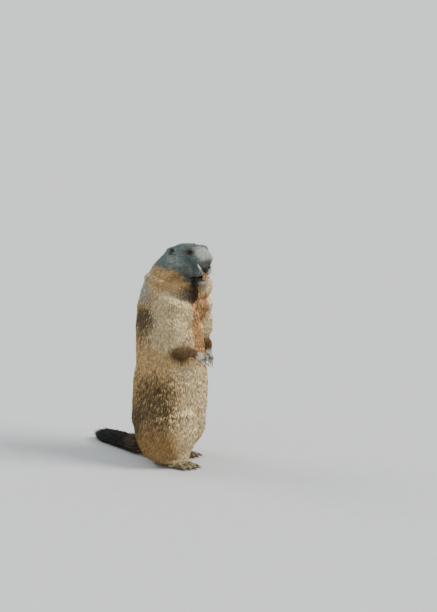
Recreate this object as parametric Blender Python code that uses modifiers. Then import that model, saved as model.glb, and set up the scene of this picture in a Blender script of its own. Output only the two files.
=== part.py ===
"""Alpine marmot, life size, standing upright on its haunches with its hands before its belly.

The flesh is built up from tapered lofts and ellipsoids, melted into one surface, and then parted
into the pieces that a person would name. Eyes, ears, nose, teeth, hands, feet and claws are
modelled on their own and let into the flesh with a thin gap.

Metres, +Z up. The hips face -Y, +X is the animal's left side. The origin is under the middle of
the whole animal, on the floor.
"""

import math
import random

import bpy
import bmesh
from mathutils import Matrix, Vector

# Driving sizes
GAP = 0.0003
MELT_VOXEL = 0.0023
PAW_VOXEL = 0.0011
BODY_RATIO = 0.015
HEAD_RATIO = 0.040
HAND_RATIO = 0.045
FOOT_RATIO = 0.024
ARM_MARGIN = 0.003
NECK_BASE = 0.396
WAIST = 0.235
CHEST_TURN = math.radians(8)
HEAD_TURN = math.radians(25)
CHEST_AXIS = Vector((0.0, -0.005, 0.0))
HEAD_AXIS = Vector((-0.003, -0.0405, 0.005))
LEFT = 1
RIGHT = -1
SIDE_NAMES = {LEFT: "left", RIGHT: "right"}

# Trunk sections: height, centre in depth, half depth, half width
TRUNK = (
    (0.002, -0.006, 0.024, 0.055),
    (0.030, 0.000, 0.052, 0.077),
    (0.064, 0.003, 0.0735, 0.086),
    (0.105, 0.0025, 0.0825, 0.088),
    (0.150, -0.001, 0.084, 0.086),
    (0.195, -0.003, 0.083, 0.082),
    (0.235, -0.004, 0.0785, 0.077),
    (0.280, -0.001, 0.076, 0.0735),
    (0.325, 0.0015, 0.0725, 0.071),
    (0.365, -0.001, 0.070, 0.068),
    (0.399, -0.004, 0.063, 0.062),
)
NECK = (
    (0.380, -0.002, 0.064, 0.062),
    (0.415, -0.0095, 0.058, 0.056),
    (0.437, -0.018, 0.052, 0.050),
    (0.456, -0.027, 0.044, 0.042),
)

# Colours, as red, green, blue
CREAM = (0.62, 0.49, 0.33)
TAN = (0.52, 0.36, 0.21)
GREY = (0.30, 0.30, 0.29)
PALE = (0.55, 0.52, 0.48)
RUST = (0.36, 0.20, 0.12)
SOOT = (0.03, 0.027, 0.025)
HORN = (0.07, 0.06, 0.055)
ENAMEL = (0.62, 0.28, 0.06)


def clear_scene():
    """Empty the file that the script runs in."""
    for item in list(bpy.data.objects):
        bpy.data.objects.remove(item, do_unlink=True)


def make_collection(name):
    """A collection linked to the scene."""
    collection = bpy.data.collections.new(name)
    bpy.context.scene.collection.children.link(collection)
    return collection


def make_material(name, colour, roughness):
    """A plain Principled finish."""
    material = bpy.data.materials.new(name)
    material.use_nodes = True
    shader = material.node_tree.nodes["Principled BSDF"]
    shader.inputs["Base Color"].default_value = (*colour, 1.0)
    shader.inputs["Roughness"].default_value = roughness
    shader.inputs["Metallic"].default_value = 0.0
    return material


def add_object(name, bm):
    """Turn a bmesh into a helper object."""
    bmesh.ops.recalc_face_normals(bm, faces=bm.faces)
    mesh = bpy.data.meshes.new(name)
    bm.to_mesh(mesh)
    bm.free()
    item = bpy.data.objects.new(name, mesh)
    item.hide_render = True
    item.display_type = "WIRE"
    HELPERS.objects.link(item)
    return item


def place(turn, axis, side, forward, height):
    """A point given by side (to the animal's left), forward reach and height in a turned frame."""
    ahead = Vector((-math.sin(turn), -math.cos(turn), 0.0))
    across = Vector((math.cos(turn), -math.sin(turn), 0.0))
    return axis + across * side + ahead * forward + Vector((0.0, 0.0, height))


def chest_place(side, forward, height):
    """A point in the frame of the chest, which is turned a little to the right."""
    return place(CHEST_TURN, CHEST_AXIS, side, forward, height)


def head_place(side, forward, height):
    """A point in the frame of the head, which is turned further to the right."""
    return place(HEAD_TURN, HEAD_AXIS, side, forward, height)


def ellipsoid(centre, radii, turn=0.0, pitch=0.0, roll=0.0, segments=32, rings=18, grow=0.0):
    """An ellipsoid with radii across, along and up, turned about Z after its pitch and roll."""
    bm = bmesh.new()
    bmesh.ops.create_uvsphere(bm, u_segments=segments, v_segments=rings, radius=1.0)
    scale = Matrix.Diagonal((radii[0] + grow, radii[1] + grow, radii[2] + grow, 1.0))
    spin = Matrix.Rotation(-turn, 4, "Z") @ Matrix.Rotation(pitch, 4, "X") @ Matrix.Rotation(roll, 4, "Y")
    bmesh.ops.transform(bm, matrix=Matrix.Translation(centre) @ spin @ scale, verts=bm.verts)
    return add_object("ellipsoid", bm)


def box(low, high, matrix=None):
    """A box between two corners, turned by a matrix if one is given."""
    bm = bmesh.new()
    bmesh.ops.create_cube(bm, size=1.0)
    size = [high[i] - low[i] for i in range(3)]
    middle = [(high[i] + low[i]) / 2 for i in range(3)]
    form = Matrix.Translation(middle) @ Matrix.Diagonal((*size, 1.0))
    bmesh.ops.transform(bm, matrix=(matrix or Matrix.Identity(4)) @ form, verts=bm.verts)
    return add_object("box", bm)


def dome_rows(station, inner, grow):
    """Two smaller sections that round off a tube's end beyond its last station."""
    centre, width, depth = Vector(station[0]), station[1] + grow, station[2] + grow
    way = (centre - Vector(inner[0])).normalized()
    rows = []
    for share in (0.87, 0.5):
        reach = math.sqrt(1.0 - share * share) * min(width, depth)
        rows.append((centre + way * reach, share * width, share * depth))
    return rows


def loft(stations, across, sides=24, grow=0.0, domed=True):
    """A closed tube through stations of centre, half width and half depth.

    The width of each section lies along the direction called across, as far as the run of the
    tube allows. Each end is flat, or rounded by a dome.
    """
    rows = [(Vector(centre), width + grow, depth + grow) for centre, width, depth in stations]
    if domed:
        start = dome_rows(stations[0], stations[1], grow)
        rows = start[::-1] + rows + dome_rows(stations[-1], stations[-2], grow)
    bm = bmesh.new()
    rings = []
    for index, (centre, width, depth) in enumerate(rows):
        before = rows[max(index - 1, 0)][0]
        after = rows[min(index + 1, len(rows) - 1)][0]
        run = (after - before).normalized()
        side_axis = (Vector(across) - run * Vector(across).dot(run)).normalized()
        depth_axis = run.cross(side_axis)
        ring = []
        for step in range(sides):
            angle = 2.0 * math.pi * step / sides
            spot = centre + side_axis * (width * math.cos(angle)) + depth_axis * (depth * math.sin(angle))
            ring.append(bm.verts.new(spot))
        rings.append(ring)
    for lower, upper in zip(rings, rings[1:]):
        for step in range(sides):
            after = (step + 1) % sides
            bm.faces.new((lower[step], lower[after], upper[after], upper[step]))
    bm.faces.new(rings[0])
    bm.faces.new(rings[-1])
    bmesh.ops.triangulate(bm, faces=bm.faces, quad_method="FIXED")
    return add_object("loft", bm)


def bake(item):
    """Apply all modifiers of an object."""
    bpy.context.view_layer.update()
    graph = bpy.context.evaluated_depsgraph_get()
    mesh = bpy.data.meshes.new_from_object(item.evaluated_get(graph))
    old = item.data
    item.modifiers.clear()
    item.data = mesh
    bpy.data.meshes.remove(old)
    return item


def copy_of(item):
    """A second object with its own mesh."""
    twin = item.copy()
    twin.data = item.data.copy()
    HELPERS.objects.link(twin)
    return twin


def remove(item):
    """Take a helper object away."""
    bpy.data.objects.remove(item, do_unlink=True)


def join(items):
    """Put the shells of several objects into one object."""
    bm = bmesh.new()
    for item in items:
        bm.from_mesh(item.data)
        remove(item)
    return add_object("joined", bm)


def triangulate(item):
    """Split every face of an object into triangles."""
    bm = bmesh.new()
    bm.from_mesh(item.data)
    bmesh.ops.triangulate(bm, faces=bm.faces)
    bm.to_mesh(item.data)
    bm.free()
    return item


def melt(items, voxel, smoothing):
    """Melt overlapping shells into one smooth closed surface."""
    lump = join(items)
    remesh = lump.modifiers.new("melt", "REMESH")
    remesh.mode = "VOXEL"
    remesh.voxel_size = voxel
    smooth = lump.modifiers.new("smooth", "SMOOTH")
    smooth.factor = 0.5
    smooth.iterations = smoothing
    return bake(lump)


def grown_copy(item):
    """A copy of a closed piece, wider by the gap all over, for cutting its own seat."""
    twin = copy_of(item)
    displace = twin.modifiers.new("grow", "DISPLACE")
    displace.strength = GAP
    displace.mid_level = 0.0
    return bake(twin)


def thin(item, ratio):
    """Lower the face count of a smooth surface."""
    decimate = item.modifiers.new("thin", "DECIMATE")
    decimate.ratio = ratio
    decimate.use_collapse_triangulate = True
    return largest(bake(item))


def largest(item):
    """Keep only the largest closed surface of an object."""
    bm = bmesh.new()
    bm.from_mesh(item.data)
    waiting = set(bm.verts)
    shells = []
    while waiting:
        shell = {waiting.pop()}
        edge = list(shell)
        while edge:
            vert = edge.pop()
            for link in vert.link_edges:
                other = link.other_vert(vert)
                if other in waiting:
                    waiting.discard(other)
                    shell.add(other)
                    edge.append(other)
        shells.append(shell)
    shells.sort(key=len, reverse=True)
    for shell in shells[1:]:
        bmesh.ops.delete(bm, geom=list(shell), context="VERTS")
    bm.to_mesh(item.data)
    bm.free()
    return item


def combine(item, tool, operation, solver="EXACT"):
    """One Boolean of an object with a tool, which is then removed."""
    boolean = item.modifiers.new("combine", "BOOLEAN")
    boolean.operation = operation
    boolean.object = tool
    boolean.solver = solver
    bake(item)
    remove(tool)
    return item


def cut(item, tool):
    """Take a tool's volume off an object."""
    return largest(combine(item, tool, "DIFFERENCE"))


def keep(item, tool):
    """Keep only what lies inside a tool."""
    return largest(combine(item, tool, "INTERSECT"))


def part_off(body, tool_maker, tools_grow=GAP):
    """Split a piece off a body along a tool's surface, with a gap between them."""
    piece = keep(copy_of(body), tool_maker(0.0))
    cut(body, tool_maker(tools_grow))
    return piece


def finish(item, name, material):
    """Name a piece, give it its finish and move it to the collection of parts."""
    triangulate(item)
    item.name = name
    item.data.name = name
    item.data.materials.clear()
    item.data.materials.append(material)
    item.data.shade_smooth()
    item.data.set_sharp_from_angle(angle=math.radians(40))
    item.hide_render = False
    item.display_type = "TEXTURED"
    HELPERS.objects.unlink(item)
    PARTS.objects.link(item)
    return item


# Trunk, haunches and neck

def trunk_forms():
    """The barrel of the body, the neck and the mass of the shoulders and haunches."""
    forms = []
    for sections in (TRUNK, NECK):
        stations = []
        for height, depth, half_depth, half_width in sections:
            stations.append(((0.0, depth, height), half_width, half_depth))
        forms.append(loft(stations, (1, 0, 0), sides=40))
    for side in (LEFT, RIGHT):
        shoulder = chest_place(side * 0.041, 0.031, 0.362)
        forms.append(ellipsoid(shoulder, (0.041, 0.046, 0.050), turn=CHEST_TURN))
        shoulder_top = chest_place(side * 0.033, 0.039, 0.405)
        forms.append(ellipsoid(shoulder_top, (0.034, 0.043, 0.038), turn=CHEST_TURN))
    forms.append(ellipsoid(chest_place(0.0, 0.026, 0.378), (0.048, 0.043, 0.046), turn=CHEST_TURN))
    return forms


THIGH_BACK = {LEFT: 0.010, RIGHT: -0.002}


def leg_forms(side):
    """The haunch, the knee and the shank that runs down to the ankle."""
    shift = THIGH_BACK[side]
    knee = Vector((side * 0.050, shift - 0.045, 0.080))
    ankle = foot_place(side, 0.0, 0.040, 0.020)
    return [
        ellipsoid((side * 0.048, shift - 0.006, 0.088), (0.046, 0.072, 0.080), pitch=math.radians(6)),
        loft(
            (
                (knee + Vector((0.0, -0.001, 0.040)), 0.030, 0.030),
                (knee, 0.031, 0.029),
                (knee.lerp(ankle, 0.5), 0.028, 0.026),
                (ankle, 0.022, 0.021),
            ),
            (1, 0, 0),
        ),
    ]


# Arms

ARM = {
    RIGHT: {"elbow": (0.070, 0.042, 0.284), "fore": (0.068, 0.062, 0.277), "wrist": (0.052, 0.079, 0.270)},
    LEFT: {"elbow": (0.068, 0.039, 0.280), "fore": (0.064, 0.054, 0.270), "wrist": (0.047, 0.067, 0.262)},
}


def upper_arm_form(side, grow=0.0, sides=24):
    """The upper arm from the shoulder to the elbow."""
    elbow = ARM[side]["elbow"]
    stations = (
        (chest_place(side * 0.050, 0.030, 0.362), 0.031, 0.034),
        (chest_place(side * 0.061, 0.038, 0.325), 0.027, 0.032),
        (chest_place(side * 0.067, 0.041, 0.304), 0.022, 0.028),
        (chest_place(side * elbow[0], elbow[1], elbow[2]), 0.017, 0.021),
    )
    return loft(stations, chest_place(1, 0, 0) - CHEST_AXIS, sides=sides, grow=grow)


def forearm_form(side, grow=0.0, sides=20):
    """The folded forearm from the elbow to the wrist."""
    elbow, fore, wrist = (ARM[side][key] for key in ("elbow", "fore", "wrist"))
    stations = (
        (chest_place(side * elbow[0], elbow[1] + 0.004, elbow[2] - 0.006), 0.016, 0.016),
        (chest_place(side * fore[0], fore[1], fore[2]), 0.0135, 0.0145),
        (chest_place(side * wrist[0], wrist[1], wrist[2]), 0.0095, 0.0105),
    )
    return loft(stations, (0, 0, 1), sides=sides, grow=grow)


# Head

EYE_SPOT = (0.0225, 0.0380, 0.4850)
EYE_RADIUS = 0.0068
EAR_SPOT = (0.0340, -0.008, 0.4825)
NOSE_SPOT = (0.0, 0.0624, 0.4500)


def lip_edge(side):
    """The rolled rim of the cleft upper lip, from beside the nose down to the incisors."""
    return loft(
        (
            (head_place(side * 0.0165, 0.0555, 0.4590), 0.0020, 0.0030),
            (head_place(side * 0.0125, 0.0625, 0.4500), 0.0026, 0.0034),
            (head_place(side * 0.0070, 0.0625, 0.4400), 0.0028, 0.0034),
            (head_place(side * 0.0058, 0.0570, 0.4360), 0.0022, 0.0024),
        ),
        head_place(1, 0, 0) - HEAD_AXIS,
        sides=8,
    )


CRANIUM = ((0.0, 0.002, 0.4620), (0.0385, 0.046, 0.0362))
CHEEK = ((0.022, 0.016, 0.446), (0.021, 0.032, 0.026))
BROW = ((0.0210, 0.0310, 0.4895), (0.0080, 0.0160, 0.0050))
TEMPLE = ((0.0250, -0.006, 0.4680), (0.0165, 0.0260, 0.0210))
WHISKER_PAD = ((0.0125, 0.0500, 0.4450), (0.0125, 0.0140, 0.0135))


def head_forms():
    """Skull, cheeks, brows, muzzle, whisker pads and lower jaw."""
    turn = HEAD_TURN
    across = head_place(1, 0, 0) - HEAD_AXIS
    forms = [
        ellipsoid(head_place(*CRANIUM[0]), CRANIUM[1], turn=turn),
        loft(
            (
                (head_place(0.0, 0.018, 0.463), 0.035, 0.030),
                (head_place(0.0, 0.034, 0.459), 0.029, 0.027),
                (head_place(0.0, 0.046, 0.453), 0.0245, 0.0215),
            ),
            across,
        ),
        loft(
            (
                (head_place(0.0, 0.010, 0.4740), 0.0345, 0.0255),
                (head_place(0.0, 0.032, 0.4755), 0.0300, 0.0235),
                (head_place(0.0, 0.051, 0.4700), 0.0280, 0.0195),
            ),
            across,
        ),
        loft(
            (
                (head_place(0.0, 0.008, 0.434), 0.030, 0.019),
                (head_place(0.0, 0.032, 0.4255), 0.019, 0.0125),
                (head_place(0.0, 0.050, 0.4205), 0.0105, 0.0078),
            ),
            across,
        ),
    ]
    for side in (LEFT, RIGHT):
        for (outward, forward, height), radii in (CHEEK, BROW, TEMPLE, WHISKER_PAD):
            forms.append(ellipsoid(head_place(side * outward, forward, height), radii, turn=turn))
        forms.append(lip_edge(side))
    return forms


def head_region(grow):
    """The space above the line where the head is parted from the neck."""
    tilt = Matrix.Rotation(math.radians(40), 4, "X")
    turn = Matrix.Rotation(-HEAD_TURN, 4, "Z")
    matrix = Matrix.Translation(head_place(0.0, -0.012, 0.452)) @ turn @ tilt
    return box((-0.12, -0.12, -grow), (0.12, 0.12, 0.15), matrix)


def eyelid_ring(side):
    """The rolled edge of the lids round the eye, longer than it is high."""
    bm = bmesh.new()
    around = 14
    across = 4
    rings = []
    for step in range(around):
        angle = 2.0 * math.pi * step / around
        middle = Vector((0.0078 * math.cos(angle), 0.0, 0.0058 * math.sin(angle)))
        out = Vector((math.cos(angle), 0.0, math.sin(angle)))
        ring = []
        for turn in range(across):
            bend = 2.0 * math.pi * turn / across
            spot = middle + out * (0.0014 * math.cos(bend))
            spot.y += 0.0016 * math.sin(bend)
            ring.append(bm.verts.new(spot))
        rings.append(ring)
    for step in range(around):
        here = rings[step]
        there = rings[(step + 1) % around]
        for turn in range(across):
            after = (turn + 1) % across
            bm.faces.new((here[turn], here[after], there[after], there[turn]))
    matrix = Matrix.Translation(eye_rim_place(side)) @ eye_matrix(side)
    bmesh.ops.transform(bm, matrix=matrix, verts=bm.verts)
    return add_object("lids", bm)


def eye_outward(side):
    """The way an eye looks: outward, a little ahead and up."""
    return (head_place(side * 0.86, 0.46, 0.22) - HEAD_AXIS).normalized()


def eye_matrix(side):
    """The turn that takes -Y to the way the eye looks and keeps X level."""
    look = eye_outward(side)
    level = look.cross(Vector((0, 0, 1))).normalized()
    up = level.cross(look)
    return Matrix((level, -look, up)).transposed().to_4x4()


def eye_place(side):
    """The centre of the eyeball."""
    return head_place(side * EYE_SPOT[0], EYE_SPOT[1], EYE_SPOT[2])


def eye_rim_place(side):
    """The middle of the lids' opening, in front of the eyeball's centre."""
    return eye_place(side) + eye_outward(side) * 0.0048


def eyeball(side, grow=0.0):
    """The eyeball."""
    return ellipsoid(eye_place(side), (EYE_RADIUS,) * 3, segments=14, rings=8, grow=grow)


def ear_form(side, grow=0.0):
    """The rounded shell of the ear, whose root sinks into the head."""
    lean = HEAD_TURN + side * math.radians(-52)
    return ellipsoid(
        head_place(side * EAR_SPOT[0], EAR_SPOT[1], EAR_SPOT[2]),
        (0.0100, 0.0046, 0.0110),
        turn=lean,
        pitch=math.radians(12),
        segments=12,
        rings=7,
        grow=grow,
    )


def ear_cup(side):
    """The hollow of the ear, which opens outward and ahead."""
    lean = HEAD_TURN + side * math.radians(-52)
    ahead = Vector((-math.sin(lean), -math.cos(lean), 0.0))
    centre = head_place(side * EAR_SPOT[0], EAR_SPOT[1], EAR_SPOT[2] + 0.0012) + ahead * 0.0042
    radii = (0.0074, 0.0060, 0.0078)
    return ellipsoid(centre, radii, turn=lean, pitch=math.radians(12), segments=10, rings=6)


NOSE_RADII = (0.0132, 0.0054, 0.0092)
NOSTRIL_SPOT = (0.0075, 0.0667, 0.4515)
NOSTRIL_RADII = (0.0024, 0.0036, 0.0017)


def nose_form(grow=0.0):
    """The bare pad of the nose."""
    return ellipsoid(head_place(*NOSE_SPOT), NOSE_RADII, turn=HEAD_TURN, segments=12, rings=7, grow=grow)


def nostril(side):
    """One nostril, a comma that opens ahead and to its side."""
    return ellipsoid(
        head_place(side * NOSTRIL_SPOT[0], NOSTRIL_SPOT[1], NOSTRIL_SPOT[2]),
        NOSTRIL_RADII,
        turn=HEAD_TURN - side * math.radians(35),
        segments=6,
        rings=5,
    )


def mouth_cutters():
    """The notch where the incisors stand, and the line of the mouth to both corners."""
    across = head_place(1, 0, 0) - HEAD_AXIS
    gape = loft(
        (
            (head_place(0.0, 0.0400, 0.4315), 0.030, 0.0006),
            (head_place(0.0, 0.0520, 0.4300), 0.030, 0.0022),
            (head_place(0.0, 0.0800, 0.4275), 0.030, 0.0040),
        ),
        across,
        sides=12,
    )
    middle = head_place(0.0, 0.0640, 0.4320)
    notch = ellipsoid(middle, (0.0078, 0.0110, 0.0085), turn=HEAD_TURN, segments=14, rings=8)
    return [gape, notch]


INCISOR_LENGTH = 0.0180
INCISOR_ROOT = 0.4430
INCISOR_AHEAD = 0.0540
INCISOR_BOW = 0.0040
INCISOR_HALF_WIDTH = 0.0031
INCISOR_ACROSS = 0.00335


def incisor(side, grow=0.0):
    """One curved, chisel-edged tooth of the upper pair, the only teeth that the mouth shows."""
    stations = []
    for step in range(5):
        share = step / 4
        ahead = INCISOR_AHEAD + INCISOR_BOW * math.sin(math.pi * (0.25 + 0.6 * share))
        place_at = head_place(side * INCISOR_ACROSS, ahead, INCISOR_ROOT - INCISOR_LENGTH * share)
        stations.append((place_at, INCISOR_HALF_WIDTH, 0.0020 - 0.0011 * share))
    return loft(stations, head_place(1, 0, 0) - HEAD_AXIS, sides=8, grow=grow, domed=False)


# Hands and feet

def digit(points, radii, across, sides=14):
    """A finger or toe through its joints."""
    stations = [(point, radius * 1.08, radius * 0.95) for point, radius in zip(points, radii)]
    return loft(stations, across, sides=sides)


def claw(root, tip, droop, thickness, grow=0.0):
    """A curved claw that tapers from a thick root to a blunt point."""
    run = tip - root
    across = run.cross(Vector((0, 0, 1))).normalized()
    stations = []
    for share, size in ((0.0, 1.0), (0.35, 0.92), (0.7, 0.62), (1.0, 0.25)):
        arch = Vector((0, 0, droop * math.sin(math.pi * share)))
        stations.append((root + run * share + arch, thickness * 0.75 * size, thickness * size))
    return loft(stations, across, sides=6, grow=grow, domed=False)


def hand_frame(side):
    """Wrist, reach and sideways spread of a hand, all in the frame of the chest."""
    wrist = ARM[side]["wrist"]
    start = chest_place(side * wrist[0], wrist[1], wrist[2])
    if side == RIGHT:
        reach = chest_place(0.45, 0.75, -0.49) - CHEST_AXIS
    else:
        reach = chest_place(-0.50, 0.48, -0.72) - CHEST_AXIS
    reach.normalize()
    palm = (chest_place(side * -0.25, -0.80, -0.55) - CHEST_AXIS).normalized()
    spread = reach.cross(palm).normalized() * side
    return start, reach, spread, spread.cross(reach) * side


def hand_fingers(side):
    """Joints of the four fingers, from the thumb side outward."""
    start, reach, spread, palm = hand_frame(side)
    fingers = []
    for index in range(4):
        fan = (index - 1.5) / 1.5
        length = (0.0160, 0.0195, 0.0190, 0.0150)[index]
        way = (reach + spread * (0.32 * fan)).normalized()
        knuckle = start + reach * 0.0180 + spread * (0.0078 * fan)
        middle = knuckle + way * (length * 0.55) - palm * 0.0015
        end = knuckle + way * length + palm * 0.0025
        fingers.append((knuckle, middle, end, way))
    return fingers


def hand(side):
    """Palm and fingers as one piece."""
    start, reach, spread, palm = hand_frame(side)
    forms = [
        loft(
            (
                (start + reach * 0.002, 0.0092, 0.0080),
                (start + reach * 0.010, 0.0108, 0.0072),
                (start + reach * 0.020, 0.0112, 0.0056),
            ),
            spread,
        ),
        ellipsoid(start + reach * 0.012 + palm * 0.004, (0.0075, 0.0075, 0.0050)),
    ]
    for knuckle, middle, end, way in hand_fingers(side):
        forms.append(digit((knuckle, middle, end), (0.0044, 0.0039, 0.0034), spread))
    return thin(melt(forms, PAW_VOXEL, 2), HAND_RATIO)


def hand_claw(side, finger, grow=0.0):
    """The claw at the end of one finger."""
    start, reach, spread, palm = hand_frame(side)
    knuckle, middle, end, way = finger
    tip = end + way * 0.0118 + palm * 0.0035 + Vector((0, 0, -0.0015))
    return claw(end + way * 0.0012, tip, 0.0012, 0.0017, grow)


FOOT = {
    RIGHT: {"heel": (-0.044, 0.002), "turn": math.radians(4)},
    LEFT: {"heel": (0.036, 0.028), "turn": math.radians(-3)},
}


def foot_place(side, across, ahead, height):
    """A point on a foot: across to the outer side, ahead towards the toes."""
    heel = FOOT[side]["heel"]
    turn = FOOT[side]["turn"]
    forward = Vector((-math.sin(turn), -math.cos(turn), 0.0))
    outward = Vector((math.cos(turn), -math.sin(turn), 0.0)) * side
    return Vector((heel[0], heel[1], height)) + outward * across + forward * ahead


def foot_toes(side):
    """Joints of the five toes, from the inner one outward."""
    toes = []
    for index in range(5):
        fan = (index - 2) / 2
        length = (0.0155, 0.0225, 0.0250, 0.0230, 0.0160)[index]
        root_ahead = 0.0560 - 0.0075 * abs(fan) - 0.0020 * fan
        root = foot_place(side, 0.0135 * fan, root_ahead, 0.0070)
        spread = 0.30 * fan
        middle = foot_place(side, 0.0135 * fan + spread * length * 0.5, root_ahead + length * 0.50, 0.0085)
        end = foot_place(side, 0.0135 * fan + spread * length, root_ahead + length * 0.95, 0.0046)
        toes.append((root, middle, end))
    return toes


def foot(side):
    """Sole, instep and toes as one piece, flat where it stands on the floor."""
    across = foot_place(side, 1, 0, 0) - foot_place(side, 0, 0, 0)
    forms = [
        loft(
            (
                (foot_place(side, 0.0, 0.008, 0.0085), 0.0120, 0.0105),
                (foot_place(side, 0.0, 0.030, 0.0090), 0.0140, 0.0110),
                (foot_place(side, 0.0, 0.050, 0.0070), 0.0165, 0.0085),
                (foot_place(side, 0.0, 0.060, 0.0055), 0.0160, 0.0065),
            ),
            across,
        ),
        loft(
            (
                (foot_place(side, -0.001, 0.034, 0.0230), 0.0135, 0.0130),
                (foot_place(side, 0.0, 0.044, 0.0120), 0.0130, 0.0100),
            ),
            across,
        ),
    ]
    for root, middle, end in foot_toes(side):
        forms.append(digit((root, middle, end), (0.0062, 0.0056, 0.0048), across))
    return thin(melt(forms, PAW_VOXEL, 2), FOOT_RATIO)


def foot_claw(toe, grow=0.0):
    """The claw at the end of one toe."""
    root, middle, end = toe
    way = end - middle
    way.z = 0.0
    way.normalize()
    base = end + way * 0.0020 + Vector((0, 0, 0.0004))
    tip = end + way * 0.0150 + Vector((0, 0, -0.0022))
    return claw(base, tip, 0.0020, 0.0021, grow)


# Tail

TAIL = (
    ((0.016, 0.050, 0.029), 0.014, 0.016),
    ((0.026, 0.074, 0.025), 0.017, 0.019),
    ((0.040, 0.100, 0.0210), 0.0190, 0.0210),
    ((0.058, 0.130, 0.0195), 0.0200, 0.0200),
    ((0.078, 0.162, 0.0175), 0.0190, 0.0195),
    ((0.096, 0.191, 0.0150), 0.0165, 0.0175),
    ((0.105, 0.208, 0.0125), 0.0100, 0.0115),
)
TAIL_CORE_SHARE = 0.62
TAIL_ROOT_SHARE = 0.93
LOCK_RINGS = 6
LOCKS_AROUND = 6
LOCK_LENGTH = 0.054
LOCK_WIDTH = 0.0095
LOCK_THICKNESS = 0.0022
FIRST_LOCKS = 0.044
LAST_LOCKS = 0.150


def tail_root(grow=0.0):
    """The base of the tail, as far as it sits in the rump."""
    return loft(TAIL[:4], (1, 0, 0), sides=12, grow=grow)


def tail_core():
    """The fleshy tail inside the brush: thick where it leaves the rump, slim towards its end."""
    stations = []
    for index, (centre, width, depth) in enumerate(TAIL[:-1]):
        share = TAIL_ROOT_SHARE if index < 2 else TAIL_CORE_SHARE
        stations.append((centre, width * share, depth * share))
    return loft(stations, (1, 0, 0), sides=10)


def tail_section(reach):
    """Centre, direction and radius of the brush at a distance along the tail."""
    walked = 0.0
    for near, far in zip(TAIL, TAIL[1:]):
        start = Vector(near[0])
        step = Vector(far[0]) - start
        if walked + step.length >= reach or far is TAIL[-1]:
            share = (reach - walked) / step.length
            spread = near[2] + (far[2] - near[2]) * min(share, 1.0)
            return start + step * share, step.normalized(), spread
        walked += step.length


def tail_lock(reach, angle, draw):
    """One flat, tapered lock that rises from the core and lies back along the tail."""
    length = LOCK_LENGTH * draw.uniform(0.85, 1.15)
    width = LOCK_WIDTH * draw.uniform(0.85, 1.15)
    lift = draw.uniform(0.90, 1.03)
    swirl = draw.uniform(-0.25, 0.25)
    stations = []
    for share in (0.0, 0.5, 1.0):
        centre, run, spread = tail_section(reach + length * share)
        up = (Vector((0, 0, 1)) - run * run.z).normalized()
        turn = angle + swirl * share
        out = run.cross(up) * math.sin(turn) + up * math.cos(turn)
        rise = TAIL_CORE_SHARE * 0.7 + (lift - TAIL_CORE_SHARE * 0.7) * math.sin(share * math.pi / 2)
        taper = 1.0 - 0.85 * share ** 1.6
        stations.append((centre + out * (spread * rise), width * taper, LOCK_THICKNESS * taper))
    return loft(stations, run.cross(out), sides=3, domed=False)


def tail_brush():
    """The tail with its brush of long locks fused to the core."""
    draw = random.Random(11)
    locks = make_collection("locks")
    for ring in range(LOCK_RINGS):
        reach = FIRST_LOCKS + (LAST_LOCKS - FIRST_LOCKS) * ring / (LOCK_RINGS - 1)
        for step in range(LOCKS_AROUND):
            angle = 2.0 * math.pi * (step + 0.5 * (ring % 2)) / LOCKS_AROUND + draw.uniform(-0.15, 0.15)
            lock = tail_lock(reach + draw.uniform(-0.004, 0.004), angle, draw)
            HELPERS.objects.unlink(lock)
            locks.objects.link(lock)
    core = tail_core()
    union = core.modifiers.new("fuse", "BOOLEAN")
    union.operation = "UNION"
    union.operand_type = "COLLECTION"
    union.collection = locks
    union.solver = "EXACT"
    bake(core)
    for lock in list(locks.objects):
        remove(lock)
    bpy.data.collections.remove(locks)
    return keep(largest(core), above_floor())


def above_floor():
    """Everything above the floor."""
    return box((-0.5, -0.5, 0.0), (0.5, 0.5, 1.0))


def upper_arm_region(side, grow):
    """The space of the upper arm, down to the elbow."""
    return upper_arm_form(side, ARM_MARGIN + grow, sides=8)


def forearm_region(side, grow):
    """The space of the forearm, from the elbow to the wrist."""
    return forearm_form(side, ARM_MARGIN + grow, sides=8)


def thigh_region(side, grow):
    """The space of one haunch."""
    centre = (side * 0.066, THIGH_BACK[side] - 0.010, 0.092)
    return ellipsoid(centre, (0.042, 0.066, 0.068), pitch=math.radians(12), segments=11, rings=7, grow=grow)


def shank_region(side, grow):
    """The space of one shank, from below the knee to the ankle."""
    centre = (side * 0.050, THIGH_BACK[side] - 0.050, 0.030)
    return ellipsoid(centre, (0.034, 0.040, 0.046), segments=10, rings=6, grow=grow)


def neck_region(grow):
    """The space above the collar."""
    tilt = Matrix.Rotation(math.radians(14), 4, "X")
    matrix = Matrix.Translation((0.0, -0.004, NECK_BASE)) @ tilt
    return box((-0.12, -0.12, -grow), (0.12, 0.12, 0.15), matrix)


def chest_region(grow):
    """The space above the waist."""
    return box((-0.15, -0.15, WAIST - grow), (0.15, 0.15, 0.6))


# Build

clear_scene()
PARTS = make_collection("alpine_marmot")
HELPERS = make_collection("helpers")

FUR_CREAM = make_material("fur_cream", CREAM, 0.9)
FUR_TAN = make_material("fur_tan", TAN, 0.9)
FUR_GREY = make_material("fur_grey", GREY, 0.9)
FUR_PALE = make_material("fur_pale", PALE, 0.9)
FUR_RUST = make_material("fur_rust", RUST, 0.9)
FUR_SOOT = make_material("fur_soot", SOOT, 0.9)
EYE_GLOSS = make_material("eye_gloss", SOOT, 0.08)
NOSE_SKIN = make_material("nose_skin", SOOT, 0.45)
CLAW_HORN = make_material("claw_horn", HORN, 0.4)
TOOTH_ENAMEL = make_material("tooth_enamel", ENAMEL, 0.3)

flesh_forms = trunk_forms() + head_forms()
for side in (LEFT, RIGHT):
    flesh_forms += leg_forms(side)
    flesh_forms += [upper_arm_form(side), forearm_form(side)]
flesh = melt(flesh_forms, MELT_VOXEL, 6)

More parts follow.
